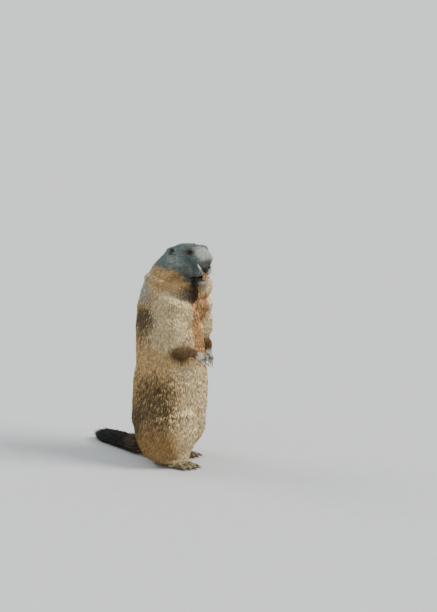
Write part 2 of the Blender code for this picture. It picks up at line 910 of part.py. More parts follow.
head = keep(thin(copy_of(flesh), HEAD_RATIO), head_region(0.0))
body = thin(flesh, BODY_RATIO)
keep(body, above_floor())
cut(body, head_region(GAP))

# The head with its eyes, ears, nose and teeth

for side in (LEFT, RIGHT):
    combine(head, eyelid_ring(side), "UNION")
    cut(head, eyeball(side, GAP))
    cut(head, ear_form(side, GAP))
cut(head, nose_form(GAP))
for cutter in mouth_cutters():
    cut(head, cutter)
for side in (LEFT, RIGHT):
    cut(head, incisor(side, GAP))
    finish(incisor(side), f"incisor_upper_{SIDE_NAMES[side]}", TOOTH_ENAMEL)
finish(head, "head", FUR_GREY)

nose = nose_form()
for side in (LEFT, RIGHT):
    combine(nose, nostril(side), "DIFFERENCE")
    finish(eyeball(side), f"eye_{SIDE_NAMES[side]}", EYE_GLOSS)
    finish(cut(ear_form(side), ear_cup(side)), f"ear_{SIDE_NAMES[side]}", FUR_GREY)
finish(nose, "nose", NOSE_SKIN)

# Hands, feet and claws, each seated in the flesh

for side in (LEFT, RIGHT):
    word = SIDE_NAMES[side]
    paw = hand(side)
    cut(body, grown_copy(paw))
    for index, finger in enumerate(hand_fingers(side)):
        cut(paw, hand_claw(side, finger, GAP))
        cut(body, hand_claw(side, finger, GAP))
        finish(hand_claw(side, finger), f"claw_hand_{word}_{index + 1}", CLAW_HORN)
    finish(paw, f"hand_{word}", FUR_PALE)
    paw = foot(side)
    cut(body, grown_copy(paw))
    for index, toe in enumerate(foot_toes(side)):
        cut(paw, foot_claw(toe, GAP))
        cut(body, foot_claw(toe, GAP))
        horn = keep(foot_claw(toe), above_floor())
        finish(horn, f"claw_foot_{word}_{index + 1}", CLAW_HORN)
    finish(keep(paw, above_floor()), f"foot_{word}", FUR_PALE)

# Tail

cut(body, tail_root(GAP))
finish(tail_brush(), "tail", FUR_SOOT)

# Limbs, neck, chest and belly

for side in (LEFT, RIGHT):
    word = SIDE_NAMES[side]
    finish(part_off(body, lambda grow: upper_arm_region(side, grow)), f"upper_arm_{word}", FUR_CREAM)
    finish(part_off(body, lambda grow: forearm_region(side, grow)), f"forearm_{word}", FUR_RUST)
    finish(part_off(body, lambda grow: thigh_region(side, grow)), f"thigh_{word}", FUR_TAN)
    finish(part_off(body, lambda grow: shank_region(side, grow)), f"shank_{word}", FUR_PALE)
finish(part_off(body, neck_region), "neck", FUR_CREAM)
finish(part_off(body, chest_region), "chest", FUR_CREAM)
finish(body, "belly", FUR_TAN)

# Origin under the middle of the animal

low = Vector(min(c for p in PARTS.objects for c in [v.co[i] for v in p.data.vertices]) for i in range(3))
high = Vector(max(c for p in PARTS.objects for c in [v.co[i] for v in p.data.vertices]) for i in range(3))
shift = Matrix.Translation((-(low.x + high.x) / 2, -(low.y + high.y) / 2, -low.z))
for piece in PARTS.objects:
    piece.data.transform(shift)
for item in list(HELPERS.objects):
    remove(item)
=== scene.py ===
# %% [markdown]
# # An alpine marmot that stands up to look round
# The model is a still, life-size marmot, as a natural history museum would show it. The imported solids
# give its outline out to the tips of the coat. Here one skin takes their place, the coat grows on it,
# and the eyes, nose, lips, teeth, claws and whiskers are made in full.

# %% The frame
import math
import random

import bpy
import numpy as np
from mathutils import Matrix, Vector
from mathutils.bvhtree import BVHTree
from mathutils.kdtree import KDTree


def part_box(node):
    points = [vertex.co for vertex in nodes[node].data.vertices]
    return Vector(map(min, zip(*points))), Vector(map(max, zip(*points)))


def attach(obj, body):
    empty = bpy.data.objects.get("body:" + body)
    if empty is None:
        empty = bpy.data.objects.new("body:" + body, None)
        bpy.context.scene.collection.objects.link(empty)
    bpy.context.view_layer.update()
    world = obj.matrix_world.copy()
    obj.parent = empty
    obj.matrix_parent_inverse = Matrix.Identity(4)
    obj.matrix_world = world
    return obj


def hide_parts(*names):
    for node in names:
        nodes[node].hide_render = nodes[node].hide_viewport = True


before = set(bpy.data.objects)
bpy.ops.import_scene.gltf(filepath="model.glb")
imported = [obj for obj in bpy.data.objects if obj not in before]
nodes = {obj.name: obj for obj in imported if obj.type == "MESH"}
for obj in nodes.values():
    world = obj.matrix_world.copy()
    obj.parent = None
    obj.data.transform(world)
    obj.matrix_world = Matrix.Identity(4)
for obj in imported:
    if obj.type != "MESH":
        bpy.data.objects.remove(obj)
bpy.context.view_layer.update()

# %% [markdown]
# ## Landmarks
# The animal stands on two feet with its body upright, turns its chest a little and its head further
# towards the viewer. Plain x, y and z would need two sets of numbers for one face. So every place on the
# head is given by how far it is across, ahead and up, measured from the axis that the head turns about,
# and both sides of the face follow from one set.

# %% Landmarks
LEFT = 1
RIGHT = -1
SIDE_NAMES = {LEFT: "left", RIGHT: "right"}
BOTH = [SIDE_NAMES[LEFT], SIDE_NAMES[RIGHT]]
HEAD_TURN = math.radians(25)
HEAD_AXIS = Vector((-0.003, -0.0405, 0.005))
EYE_SPOT = (0.0225, 0.0380, 0.4850)
EYE_RADIUS = 0.0068


def middle(node):
    """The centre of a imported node."""
    low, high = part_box(node)
    return (low + high) / 2


def turned(across, ahead, up):
    """A step on the turned head, as a vector."""
    side = Vector((math.cos(HEAD_TURN), -math.sin(HEAD_TURN), 0.0))
    front = Vector((-math.sin(HEAD_TURN), -math.cos(HEAD_TURN), 0.0))
    return side * across + front * ahead + Vector((0, 0, up))


eyes_middle = (middle("eye_left") + middle("eye_right")) / 2
axis_floor = eyes_middle - HEAD_AXIS - turned(0.0, EYE_SPOT[1], EYE_SPOT[2])
axis_floor.z = 0.0


def on_head(across, ahead, up):
    """A place on the turned head."""
    return axis_floor + HEAD_AXIS + turned(across, ahead, up)


print("floor point of the body's axis:", [round(v, 4) for v in axis_floor])

# %% [markdown]
# ## Shader sums
# A coat changes colour by smooth sums of masks and noise. The nodes of such a sum could be added and
# linked one by one, but a sum of ten terms is then a page of lines. A small wrapper lets sums be written
# with plus and times, so that each material below reads as the recipe it is.


# %% Shader sums
class Wire:
    """A value in a material's node tree that adds and multiplies like a number."""

    def __init__(self, tree, socket):
        self.tree = tree
        self.socket = socket

    def node(self, kind, inputs=None, output=0, **settings):
        """Any other node, fed with wires and numbers by the name or place of its inputs."""
        made = self.tree.nodes.new(kind)
        for name, value in settings.items():
            setattr(made, name, value)
        for key, value in (inputs or {}).items():
            if isinstance(value, Wire):
                self.tree.links.new(value.socket, made.inputs[key])
            else:
                made.inputs[key].default_value = value
        return Wire(self.tree, made.outputs[output])

    def maths(self, operation, first, second):
        return self.node("ShaderNodeMath", {0: first, 1: second}, operation=operation)

    def __add__(self, other):
        return self.maths("ADD", self, other)

    __radd__ = __add__

    def __sub__(self, other):
        return self.maths("SUBTRACT", self, other)

    def __rsub__(self, other):
        return self.maths("SUBTRACT", other, self)

    def __mul__(self, other):
        return self.maths("MULTIPLY", self, other)

    __rmul__ = __mul__

    def __pow__(self, other):
        return self.maths("POWER", self, other)

    def clamp(self):
        return self.node("ShaderNodeClamp", {0: self})

    def between(self, low, high):
        """0 below low, 1 above high, and smooth between."""
        return self.node("ShaderNodeMapRange", {0: self, 1: low, 2: high}, interpolation_type="SMOOTHSTEP")

    def mix(self, first, second):
        """The first colour where this is 0 and the second where it is 1."""
        return self.node("ShaderNodeMix", {0: self, 6: first, 7: second}, output=2, data_type="RGBA")

    def stretch(self, x, y, z):
        """A place with each axis scaled."""
        return self.node("ShaderNodeVectorMath", {0: self, 1: (x, y, z)}, operation="MULTIPLY")

    def noise(self, scale, detail=2.0, roughness=0.5):
        """Soft noise from 0 to 1 at this place."""
        fed = {"Vector": self, "Scale": scale, "Detail": detail, "Roughness": roughness}
        return self.node("ShaderNodeTexNoise", fed)

    def part(self, index):
        """One of the three numbers of a vector."""
        return self.node("ShaderNodeSeparateXYZ", {0: self}, output=index)

    def reach(self, way):
        """How far this place lies along a way."""
        fed = {0: self, 1: tuple(way)}
        return self.node("ShaderNodeVectorMath", fed, output=1, operation="DOT_PRODUCT")

    def times_colour(self, other):
        """This colour multiplied by another one."""
        fed = {0: 1.0, 6: self, 7: other}
        return self.node("ShaderNodeMix", fed, output=2, data_type="RGBA", blend_type="MULTIPLY")

    def bump(self, strength, distance):
        """A surface normal that this height bends."""
        fed = {"Height": self, "Strength": strength, "Distance": distance}
        return self.node("ShaderNodeBump", fed)


print("sums, products and powers of wires are ready")

# %% [markdown]
# ## Materials
# Colours are easiest to judge as the screen shows them, so they are given as screen values and turned
# into the light that a surface reflects. Each finish starts from Blender's one Principled surface, which
# covers hair, horn, wet skin and enamel alike.

# %% Materials


def tone(red, green, blue):
    """A colour given as screen values from 0 to 255, as the light that it reflects."""
    return tuple(((value / 255) ** 2.2) for value in (red, green, blue)) + (1.0,)


def new_material(name):
    """An empty Principled material: its surface shader, and a wire to start from."""
    material = bpy.data.materials.new(name)
    material.use_nodes = True
    tree = material.node_tree
    surface = next(n for n in tree.nodes if n.type == "BSDF_PRINCIPLED")
    place = tree.nodes.new("ShaderNodeTexCoord")
    return material, surface, Wire(tree, place.outputs["Object"])


def feed(surface, **values):
    """Joins wires to a shader or sets its numbers, with _ for a space in an input's name."""
    for name, value in values.items():
        socket = surface.inputs[name.replace("_", " ")]
        if isinstance(value, Wire):
            value.tree.links.new(value.socket, socket)
        else:
            socket.default_value = value


print("a middle grey reflects", round(tone(128, 128, 128)[0], 3), "of the light")

# %% [markdown]
# ## Colours and masks
# An alpine marmot has a blue-grey crown and grizzled cheeks, a pale muzzle, a buff neck, cream arms,
# a rusty chest, a grizzled brown back and flanks, warm haunches, pale shins and a tail that is brown at
# its root and black at its tip. The pattern could be painted on a picture, but that needs an unwrapped
# skin and shows its seams. Here each marking is a soft mask worked out from a place on the body.

# %% Colours and masks
BASE = tone(228, 192, 140)
GREY = tone(122, 141, 144)
PALE = tone(214, 222, 222)
DARK = tone(70, 65, 50)
RUST = tone(214, 166, 120)
WARM = tone(186, 152, 104)
CREAM = tone(255, 234, 193)
SOOT = tone(12, 11, 9)
BROWN = tone(92, 68, 44)
MASKS = ("grey", "pale", "dark", "rust", "warm", "cream", "soot", "shade", "brown")


def numbers(items, field, width, kind=float):
    """One field of all items of a mesh, as an array of the given width."""
    values = np.zeros(len(items) * width, dtype=kind)
    items.foreach_get(field, values)
    return values.reshape(-1, width)


def smooth(values, low, high):
    """0 below low, 1 above high, smooth between, for a whole array."""
    share = np.clip((values - low) / (high - low), 0.0, 1.0)
    return share * share * (3.0 - 2.0 * share)


def blob(places, centre, radii, edge=0.45):
    """1 inside a soft ellipsoid and 0 outside it."""
    reach = np.sqrt((((places - np.array(centre)) / np.array(radii)) ** 2).sum(1))
    return 1.0 - smooth(reach, 1.0 - edge, 1.0 + edge)


def head_frame(places):
    """How far each place is across, ahead and up on the head."""
    offset = places - np.array(axis_floor + HEAD_AXIS)
    side = np.array(turned(1, 0, 0))
    front = np.array(turned(0, 1, 0))
    return offset @ side, offset @ front, offset[:, 2]


print("masks:", ", ".join(MASKS))

# %% [markdown]
# ## Furrows between fingers and toes
# Between two fingers the skin sinks into a furrow where little light falls. The shape alone could show it,
# but the fur on the fingers fills these gaps. So each place on a hand or foot is compared with the lines
# from its middle to its claws: where two lines are about equally near, there is a furrow.

# %% Furrows between fingers and toes
DIGITS = {"hand": 4, "foot": 5}


def digit_gaps(places):
    """How near a place on a hand or foot is to the furrow between two fingers or toes."""
    furrow = np.zeros(len(places))
    for limb, count in DIGITS.items():
        for side in BOTH:
            heart = np.array(middle(f"{limb}_{side}"))
            close = np.flatnonzero(np.linalg.norm(places - heart, axis=1) < 0.06)
            off = places[close] - heart
            away = []
            reach = []
            for number in range(count):
                claw = nodes[f"claw_{limb}_{side}_{number + 1}"]
                horn = numbers(claw.data.vertices, "co", 3)
                root = horn[np.argmin(np.linalg.norm(horn - heart, axis=1))] - heart
                share = (off @ root) / (root @ root)
                away.append(np.linalg.norm(off - np.clip(share, 0, 1)[:, None] * root, axis=1))
                reach.append(share)
            order = np.argsort(away, axis=0)
            ranked = np.take_along_axis(np.array(away), order, 0)
            along = np.take_along_axis(np.array(reach), order, 0)[0]
            between = smooth(ranked[0] / (ranked[0] + ranked[1]), 0.34, 0.47)
            furrow[close] += between * smooth(along, 0.30, 0.55) * (ranked[0] < 0.010)
    return furrow


print("furrows in a hand:", DIGITS["hand"] - 1, "in a foot:", DIGITS["foot"] - 1)

# %% [markdown]
# ## All masks in one place
# Skin and coat could each have their own masks, but they would drift apart at the first change. Both ask
# the same function instead, so they always agree. One more mask is the shade in the mouth, at the throat
# and in the furrows.

# %% All masks in one place


def markings(places):
    """All masks of the coat at an array of places, one column each.

    x, y and z are metres from the floor point of the body's axis; across, ahead and up are the head's.
    """
    x = places[:, 0] - axis_floor.x
    y = places[:, 1] - axis_floor.y
    z = places[:, 2]
    across, ahead, up = head_frame(places)
    width = np.abs(across)
    face_side = np.stack((width, ahead, up), 1)
    jaw = 0.03 * smooth(ahead, 0.026, 0.044) * smooth(up, 0.416, 0.428)
    head = smooth(up + 0.18 * ahead + jaw, 0.433, 0.456)
    back = smooth(y, -0.01, 0.05)
    front = smooth(-y, 0.03, 0.075)
    forward = smooth(-y, 0.005, 0.085)
    flank = smooth(np.abs(x), 0.035, 0.075)
    high = smooth(z, 0.335, 0.365)
    middle_line = 1 - smooth(np.abs(x + 0.003 + 0.011 * high), 0.016 + 0.014 * high, 0.031 + 0.015 * high)
    columns = {}
    crown = smooth(up, 0.452, 0.474)
    columns["grey"] = head * (0.80 + 0.20 * crown)
    muzzle = smooth(ahead, 0.028, 0.060) * smooth(up, 0.456, 0.480) * (1 - smooth(width, 0.008, 0.031))
    cheek = 0.40 * blob(face_side, (0.040, 0.010, 0.466), (0.020, 0.022, 0.014), 0.7)
    chin = smooth(ahead, 0.041, 0.049) * (1 - smooth(up, 0.420, 0.425)) * smooth(up, 0.409, 0.414)
    chin = chin * (1 - smooth(width, 0.011, 0.016))
    lips = blob(places, on_head(0.013, 0.062, 0.446), (0.009, 0.019, 0.012), 0.4)
    hands = sum(blob(places, middle("hand_" + side), (0.026, 0.026, 0.018), 0.3) for side in BOTH)
    feet = (1 - smooth(z, 0.014, 0.030)) * smooth(-y, 0.01, 0.04)
    scruff = 0.7 * back * smooth(z, 0.36, 0.40) * (1 - smooth(z, 0.45, 0.48))
    paws = 0.6 * hands + 0.25 * feet
    columns["pale"] = np.clip(1.2 * muzzle + cheek + scruff + 0.8 * chin + 0.9 * lips + paws, 0, 1)
    torso = smooth(z, 0.060, 0.135) * (1 - smooth(z, 0.190, 0.262))
    saddle = torso * (0.40 * back * (1 - flank) + flank) * (1 - forward)
    nape = 0.40 * back * smooth(z, 0.265, 0.31) * (1 - smooth(z, 0.40, 0.43))
    patch = blob(places, axis_floor + Vector((-0.052, 0.036, 0.346)), (0.030, 0.032, 0.024), 0.6)
    rump = smooth(y, 0.02, 0.06) * smooth(z, 0.03, 0.06) * (1 - smooth(z, 0.13, 0.17))
    # on the far side of the neck the cream of the arms reaches higher: painted light where light falls on
    # that side
    top = np.where(x > 0.005, 0.425, 0.40)
    arms = smooth(z, 0.265, 0.30) * (1 - smooth(z, top, top + 0.03)) * (1 - back * 0.7) * (1 - middle_line)
    sleeve = 0.22 * arms * (1 - front)
    columns["dark"] = np.clip(0.66 * saddle + 0.38 * patch + 0.4 * rump + nape + sleeve, 0, 1)
    columns["rust"] = front * smooth(z, 0.225, 0.26) * (1 - smooth(z, 0.385, 0.41)) * middle_line
    haunch = (1 - smooth(z, 0.070, 0.140)) * smooth(z, 0.018, 0.045)
    columns["warm"] = haunch * (1 - 0.9 * smooth(-y, 0.015, 0.065))
    band = 0.25 * (1 - 0.6 * back) * smooth(z, 0.215, 0.245) * (1 - smooth(z, 0.262, 0.29))
    belly = smooth(-y, 0.005, 0.080) * (1 - smooth(z, 0.23, 0.26)) * smooth(z, 0.05, 0.08)
    # cream on the far side of the neck only: partly pale fur, partly painted light where light falls on
    # that side
    ruff_and_painted_light = front * smooth(x, -0.005, 0.015) * smooth(z, 0.375, 0.40) * (1 - smooth(z, 0.425, 0.45))
    shins = (1 - smooth(z, 0.050, 0.068)) * smooth(-y, 0.0, 0.03)
    columns["cream"] = np.clip(0.95 * arms + belly + ruff_and_painted_light + band + 0.85 * shins, 0, 1)
    off_line = np.hypot(x - 0.016 - 0.55 * (y - 0.05), z - 0.027 + 0.1 * (y - 0.05))
    tail = smooth(y, 0.042, 0.066) * (1 - smooth(off_line, 0.026, 0.036))
    columns["soot"] = tail * (0.62 + 0.38 * smooth(y, 0.095, 0.125))
    ear_in = blob(face_side, (0.037, -0.004, 0.4825), (0.007, 0.007, 0.008), 0.4)
    mouth = blob(face_side, (0.012, 0.050, 0.4308), (0.019, 0.022, 0.0030), 0.4)
    gap = blob(places, on_head(0, 0.056, 0.4330), (0.011, 0.014, 0.009), 0.3)
    throat = blob(places, on_head(-0.018, 0.038, 0.402), (0.035, 0.033, 0.022), 0.5) * (1 - 0.9 * chin)
    under_chin = blob(face_side, (0.017, 0.036, 0.4165), (0.016, 0.015, 0.009), 0.5)
    columns["shade"] = np.clip(mouth + gap + throat + under_chin + 0.8 * digit_gaps(places), 0, 1)
    eye_ring = blob(face_side, EYE_SPOT, (0.0105, 0.0110, 0.0075), 0.35) * np.where(across > 0, 0.35, 1.0)
    bridge = blob(places, on_head(0, 0.062, 0.4650), (0.022, 0.016, 0.0095), 0.7)
    under_arm = blob(places, middle("forearm_right"), (0.032, 0.032, 0.026), 0.4)
    under_arm += blob(places, middle("forearm_left"), (0.028, 0.028, 0.022), 0.4)
    jowl = blob(face_side, (0.036, 0.026, 0.430), (0.022, 0.026, 0.013), 0.7)
    tail_root = tail * (1 - smooth(y, 0.12, 0.15))
    browns = 0.70 * eye_ring + ear_in + 0.55 * bridge + under_arm + 0.6 * jowl
    # the brown on the feet is partly their own tone and partly painted shade where they stand near the
    # floor
    columns["brown"] = np.clip(browns + 0.8 * tail_root + 0.55 * feet, 0, 1)
    return np.stack([columns[name] for name in MASKS], 1)


crown_marks = markings(np.array([tuple(on_head(0.0, 0.0, 0.49))]))[0]
print("grey at the crown:", crown_marks[MASKS.index("grey")].round(2))

# %% [markdown]
# ## Depth of the coat
# A marmot's coat is about two centimetres long on the trunk, shorter on head and limbs, and only a thin
# nap on hands, feet and ears. One length for all would make it a plush toy, so each body part has its own.

# %% Depth of the coat
# per part: depth of coat, length of a tuft, width of a tuft (metres), tufts per square centimetre
COAT = {
    "head": (0.0032, 0.0090, 0.0017, 62.0),
    "ear": (0.0007, 0.0040, 0.0010, 90.0),
    "neck": (0.0050, 0.0150, 0.0026, 46.0),
    "chest": (0.0066, 0.0180, 0.0029, 38.0),
    "belly": (0.0085, 0.0205, 0.0031, 34.0),
    "upper_arm": (0.0055, 0.0150, 0.0025, 42.0),
    "forearm": (0.0036, 0.0110, 0.0020, 55.0),
    "hand": (0.0006, 0.0028, 0.0009, 90.0),
    "thigh": (0.0085, 0.0195, 0.0030, 34.0),
    "shank": (0.0048, 0.0130, 0.0023, 44.0),
    "foot": (0.0006, 0.0032, 0.0010, 80.0),
    "tail": (0.0012, 0.0400, 0.0030, 46.0),
}
PAIRED = ("ear", "upper_arm", "forearm", "hand", "thigh", "shank", "foot")
FLESH = ["head", "neck", "chest", "belly", "tail"] + [f"{part}_{side}" for part in PAIRED for side in BOTH]


def without_side(node):
    """The name of a body part without its side, as the tables have it."""
    return node.replace("_left", "").replace("_right", "")


print(len(FLESH), "flesh nodes of", len(nodes), "nodes")

# %% [markdown]
# ## Working by hand
# The pieces are shaped with the same tools that a hand uses in Blender's window. A tool acts on all that
# is chosen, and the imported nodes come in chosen, so each helper first lets go of everything.

# %% Working by hand
SAME_PLACE = 0.00001


def let_go():
    """Leaves no object chosen."""
    bpy.ops.object.select_all(action="DESELECT")


def pick(item):
    """Makes one object the only one chosen and active."""
    let_go()
    item.select_set(True)
    bpy.context.view_layer.objects.active = item
    return item


def apply_modifier(item, kind, **settings):
    """Adds a modifier, sets it up and applies it."""
    pick(item)
    made = item.modifiers.new("step", kind)
    for name, value in settings.items():
        setattr(made, name, value)
    bpy.ops.object.modifier_apply(modifier=made.name)


def shade_smooth(item):
    """Lets the light run smoothly over every face."""
    for face in item.data.polygons:
        face.use_smooth = True


def add_object(name, data):
    """A new object in the scene that holds the given data."""
    item = bpy.data.objects.new(name, data)
    bpy.context.scene.collection.objects.link(item)
    return item


def edit_all(item, tool, **settings):
    """Uses one mesh tool on every point of a piece."""
    pick(item)
    bpy.ops.object.mode_set(mode="EDIT")
    bpy.ops.mesh.select_all(action="SELECT")
    tool(**settings)
    bpy.ops.object.mode_set(mode="OBJECT")


def weld(item):
    """Merges points that fall together and turns every face outward."""
    edit_all(item, bpy.ops.mesh.remove_doubles, threshold=SAME_PLACE)
    edit_all(item, bpy.ops.mesh.normals_make_consistent, inside=False)


def joined(items, name):
    """Several pieces made into one."""
    let_go()
    for item in items:
        item.select_set(True)
    bpy.context.view_layer.objects.active = items[0]
    bpy.ops.object.join()
    whole = bpy.context.view_layer.objects.active
    whole.name = name
    return whole


def melt(item, voxel, rounds):
    """Makes one closed surface of overlapping forms and smooths it."""
    apply_modifier(item, "REMESH", mode="VOXEL", voxel_size=voxel, adaptivity=0.0)
    apply_modifier(item, "SMOOTH", factor=0.5, iterations=rounds)


print("points nearer than", SAME_PLACE * 1000, "mm are merged")

# %% [markdown]
# ## Tail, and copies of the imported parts
# The bare tail is a tapering tube, which could be extruded ring by ring. A curve with a radius at each
# point is easier to bend, and it becomes a mesh with closed ends. The other body parts are copies of the
# packed ones, whose triangles are loose and are merged first.

# %% Tail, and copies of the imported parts
GROWTH = 0.0005
# places from the floor point of the body's axis, and the radius of the bare tail there
TAIL_CORE = (
    ((0.016, 0.050, 0.029), 0.0130),
    ((0.026, 0.074, 0.025), 0.0155),
    ((0.040, 0.100, 0.0200), 0.0130),
    ((0.065, 0.145, 0.0180), 0.0120),
    ((0.090, 0.185, 0.0150), 0.0100),
    ((0.098, 0.198, 0.0130), 0.0060),
)


def swept(name, points, radii, sides=3):
    """A tube along points whose radius follows a list, turned into a mesh with closed ends."""
    curve = bpy.data.curves.new(name, "CURVE")
    curve.dimensions = "3D"
    curve.bevel_depth = 1.0
    curve.bevel_resolution = sides
    curve.use_fill_caps = True
    curve.resolution_u = 6
    line = curve.splines.new("NURBS")
    line.points.add(len(points) - 1)
    for spot, place, radius in zip(line.points, points, radii):
        spot.co = (*place, 1.0)
        spot.radius = radius
    line.use_endpoint_u = True
    line.order_u = 3
    item = pick(add_object(name, curve))
    bpy.ops.object.convert(target="MESH")
    weld(item)
    shade_smooth(item)
    return item


def merged_copy(node, name):
    """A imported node's own mesh, copied and merged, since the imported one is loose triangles."""
    item = add_object(name, nodes[node].data.copy())
    item.data.materials.clear()
    weld(item)
    return item


pieces = []
for node in FLESH:
    if node == "tail":
        points = [axis_floor + Vector(place) for place, _ in TAIL_CORE]
        piece = swept("tail_core", points, [radius for _, radius in TAIL_CORE], sides=6)
    else:
        piece = merged_copy(node, node + "_copy")
    if not node.startswith(("hand", "foot")):
        apply_modifier(piece, "DISPLACE", strength=GROWTH, mid_level=0.0)
    owner = piece.data.attributes.new("owner", "INT", "FACE")
    owner.data.foreach_set("value", [FLESH.index(node)] * len(piece.data.polygons))
    pieces.append(piece)
print("faces of the copies:", sum(len(piece.data.polygons) for piece in pieces))

# %% [markdown]
# ## Skin
# Under the fur of a mounted animal lies one tanned skin without a seam. It could be sculpted, but the
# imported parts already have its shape. All but the hands and feet were grown by half a millimetre, so that
# neighbours touch, and a voxel remesh now melts them into one closed surface. Trunk and limbs are smoothed
# further, while face, hands and feet keep their detail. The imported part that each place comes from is
# remembered.

# %% Skin
SKIN_VOXEL = 0.0015
SKIN_ROUNDS = 3
SOFT_ROUNDS = 60
HAND_REACH = 0.035
skin = joined(pieces, "skin")
skin.data.name = "skin"
owners = [item.value for item in skin.data.attributes["owner"].data]
corners = [vertex.co.copy() for vertex in skin.data.vertices]
faces = [face.vertices[:] for face in skin.data.polygons]
parts_finder = BVHTree.FromPolygons(corners, faces)
melt(skin, SKIN_VOXEL, SKIN_ROUNDS)
soft_group = skin.vertex_groups.new(name="soft_parts")
seats = numbers(skin.data.vertices, "co", 3)
_, ahead, _ = head_frame(seats)
throat_side = smooth(ahead, -0.020, 0.010)
soft = smooth(seats[:, 2], 0.03, 0.07) * (1 - smooth(seats[:, 2], 0.455, 0.475))
soft *= 1 - throat_side * smooth(seats[:, 2], 0.40, 0.43)
for side in BOTH:
    soft *= np.linalg.norm(seats - np.array(middle("hand_" + side)), axis=1) > HAND_REACH
for index in np.flatnonzero(soft > 0.01):
    soft_group.add([int(index)], float(soft[index]), "REPLACE")
apply_modifier(skin, "SMOOTH", factor=0.5, iterations=SOFT_ROUNDS, vertex_group="soft_parts")
print("skin:", len(skin.data.vertices), "points")

# %% [markdown]
# ## Lie of the coat
# Hair starts at the nose and runs back over the head, down the neck and trunk, along each limb to its
# claws and along the tail. In Blender's window it would be combed by hand. Here each body part gives its
# own direction, and the directions are spread over the skin from point to point until they flow into one
# another. The depth, length, width and number of tufts are spread in the same way.

# %% Lie of the coat
EDGE_PAIRS = numbers(skin.data.edges, "vertices", 2, np.int64)
COUNT = len(skin.data.vertices)
NEIGHBOURS = np.bincount(EDGE_PAIRS.ravel(), minlength=COUNT).reshape(-1, 1)
LIE_ROUNDS = 130
HABIT_ROUNDS = 80
# the share by which depth, length, width and number of tufts change towards the nose
FACE_CHANGE = (-0.62, -0.58, -0.45, 0.60)


def spread(values, rounds):
    """Values averaged with their neighbours on the skin, again and again."""
    values = values.astype(float).copy()
    for _ in range(rounds):
        total = np.empty_like(values)
        for column in range(values.shape[1]):
            one = values[:, column]
            from_ends = np.bincount(EDGE_PAIRS[:, 0], one[EDGE_PAIRS[:, 1]], COUNT)
            total[:, column] = from_ends + np.bincount(EDGE_PAIRS[:, 1], one[EDGE_PAIRS[:, 0]], COUNT)
        values = 0.5 * values + 0.5 * total / NEIGHBOURS
    return values


def unit(vectors):
    """Each vector of an array at a length of one."""
    return vectors / np.maximum(np.linalg.norm(vectors, axis=1, keepdims=True), 1e-9)


def lie_of(node):
    """The way the hair runs on a body part, apart from the head."""
    side = "left" if node.endswith("left") else "right"
    down = Vector((0, 0.10, -1))
    ways = {
        "neck": middle("chest") - middle("head"),
        "upper_arm": middle(f"forearm_{side}") - middle(f"upper_arm_{side}"),
        "forearm": middle(f"hand_{side}") - middle(f"forearm_{side}"),
        "hand": middle(f"claw_hand_{side}_2") - middle(f"hand_{side}"),
        "thigh": Vector((0, 0.25, -1)),
        "shank": middle(f"foot_{side}") - middle(f"shank_{side}"),
        "foot": middle(f"claw_foot_{side}_3") - middle(f"foot_{side}"),
        "ear": turned(0.0, -0.5, 1.0),
        "tail": Vector(TAIL_CORE[-1][0]) - Vector(TAIL_CORE[1][0]),
    }
    return ways.get(without_side(node), down).normalized()


points = numbers(skin.data.vertices, "co", 3)
owner = np.array([owners[parts_finder.find_nearest(Vector(place))[2]] for place in points])
nose_tip = np.array(on_head(0.0, 0.068, 0.455))
lie = np.array([tuple(lie_of(node)) for node in FLESH])[owner]
on_face = owner == FLESH.index("head")
lie[on_face] = unit(points[on_face] - nose_tip)
lie = unit(spread(lie, LIE_ROUNDS))
habit = spread(np.array([COAT[without_side(node)] for node in FLESH])[owner], HABIT_ROUNDS)
across, ahead, up = head_frame(points)
face = smooth(ahead, 0.018, 0.050) * smooth(up, 0.41, 0.43)
habit *= 1.0 + np.outer(face, FACE_CHANGE)
print("coat depth from", habit[:, 0].min().round(5), "to", habit[:, 0].max().round(5))

# %% [markdown]
# ## Drawing the skin in
# The imported solids reach out to the tips of the coat, so the skin lies deeper. It could be shrunk as a
# whole, but the face would then be too thin. So each place is drawn in by its own depth of coat. Low
# folds are laid on the muzzle and the brows are raised. Hollows are found as well, most of all in hands
# and feet, and are later painted darker as shade, since less light falls into them.

# %% Drawing the skin in
NORMAL_ROUNDS = 5
HOLLOW_ROUNDS = 8
HOLLOW_SHADE = 0.65
UNDER_ROOTS = 0.0002
normals = unit(spread(numbers(skin.data.vertices, "normal", 3), NORMAL_ROUNDS))
folds = 0.0004 * np.sin(900.0 * up + 260.0 * np.abs(across)) * face * (1 - smooth(up, 0.46, 0.47))
from_brow = ((np.abs(across) - 0.021) / 0.007) ** 2 + ((ahead - 0.035) / 0.010) ** 2
brow = 0.0012 * np.exp(-from_brow) * smooth(up, 0.478, 0.486)
# how deep each point lies in a hollow; the hollows get painted shade
hollow = ((spread(points, HOLLOW_ROUNDS) - points) * normals).sum(1)
small = 1 - smooth(points[:, 2], 0.03, 0.05)
small += smooth(habit[:, 3], 60.0, 72.0) * (1 - smooth(points[:, 2], 0.38, 0.40))
cavity = smooth(hollow, 0.00005, 0.00040) * np.clip(0.25 + small, 0, 1)
points = points - normals * (habit[:, :1] + UNDER_ROOTS) + normals * (folds + brow).reshape(-1, 1)
skin.data.vertices.foreach_set("co", points.ravel())
skin.data.update()
shade_smooth(skin)
print("hollows:", int((cavity > 0.5).sum()), "of", COUNT, "points")

# %% [markdown]
# ## Masks on the skin
# The masks could be worked out inside the material, with hundreds of nodes. Worked out once here, they
# are stored at the points of the mesh as plain numbers, three to an attribute.

# %% Masks on the skin
MASK_NAMES = ("marks_one", "marks_two", "marks_three")


def set_vectors(mesh, name, values):
    """Stores three numbers at each point of a mesh."""
    made = mesh.attributes.new(name, "FLOAT_VECTOR", "POINT")
    made.data.foreach_set("vector", np.ascontiguousarray(values, dtype=np.float32).ravel())


def set_marks(mesh, marks):
    """Stores the nine masks of the markings at each point, three by three."""
    for index, name in enumerate(MASK_NAMES):
        set_vectors(mesh, name, marks[:, 3 * index : 3 * index + 3])


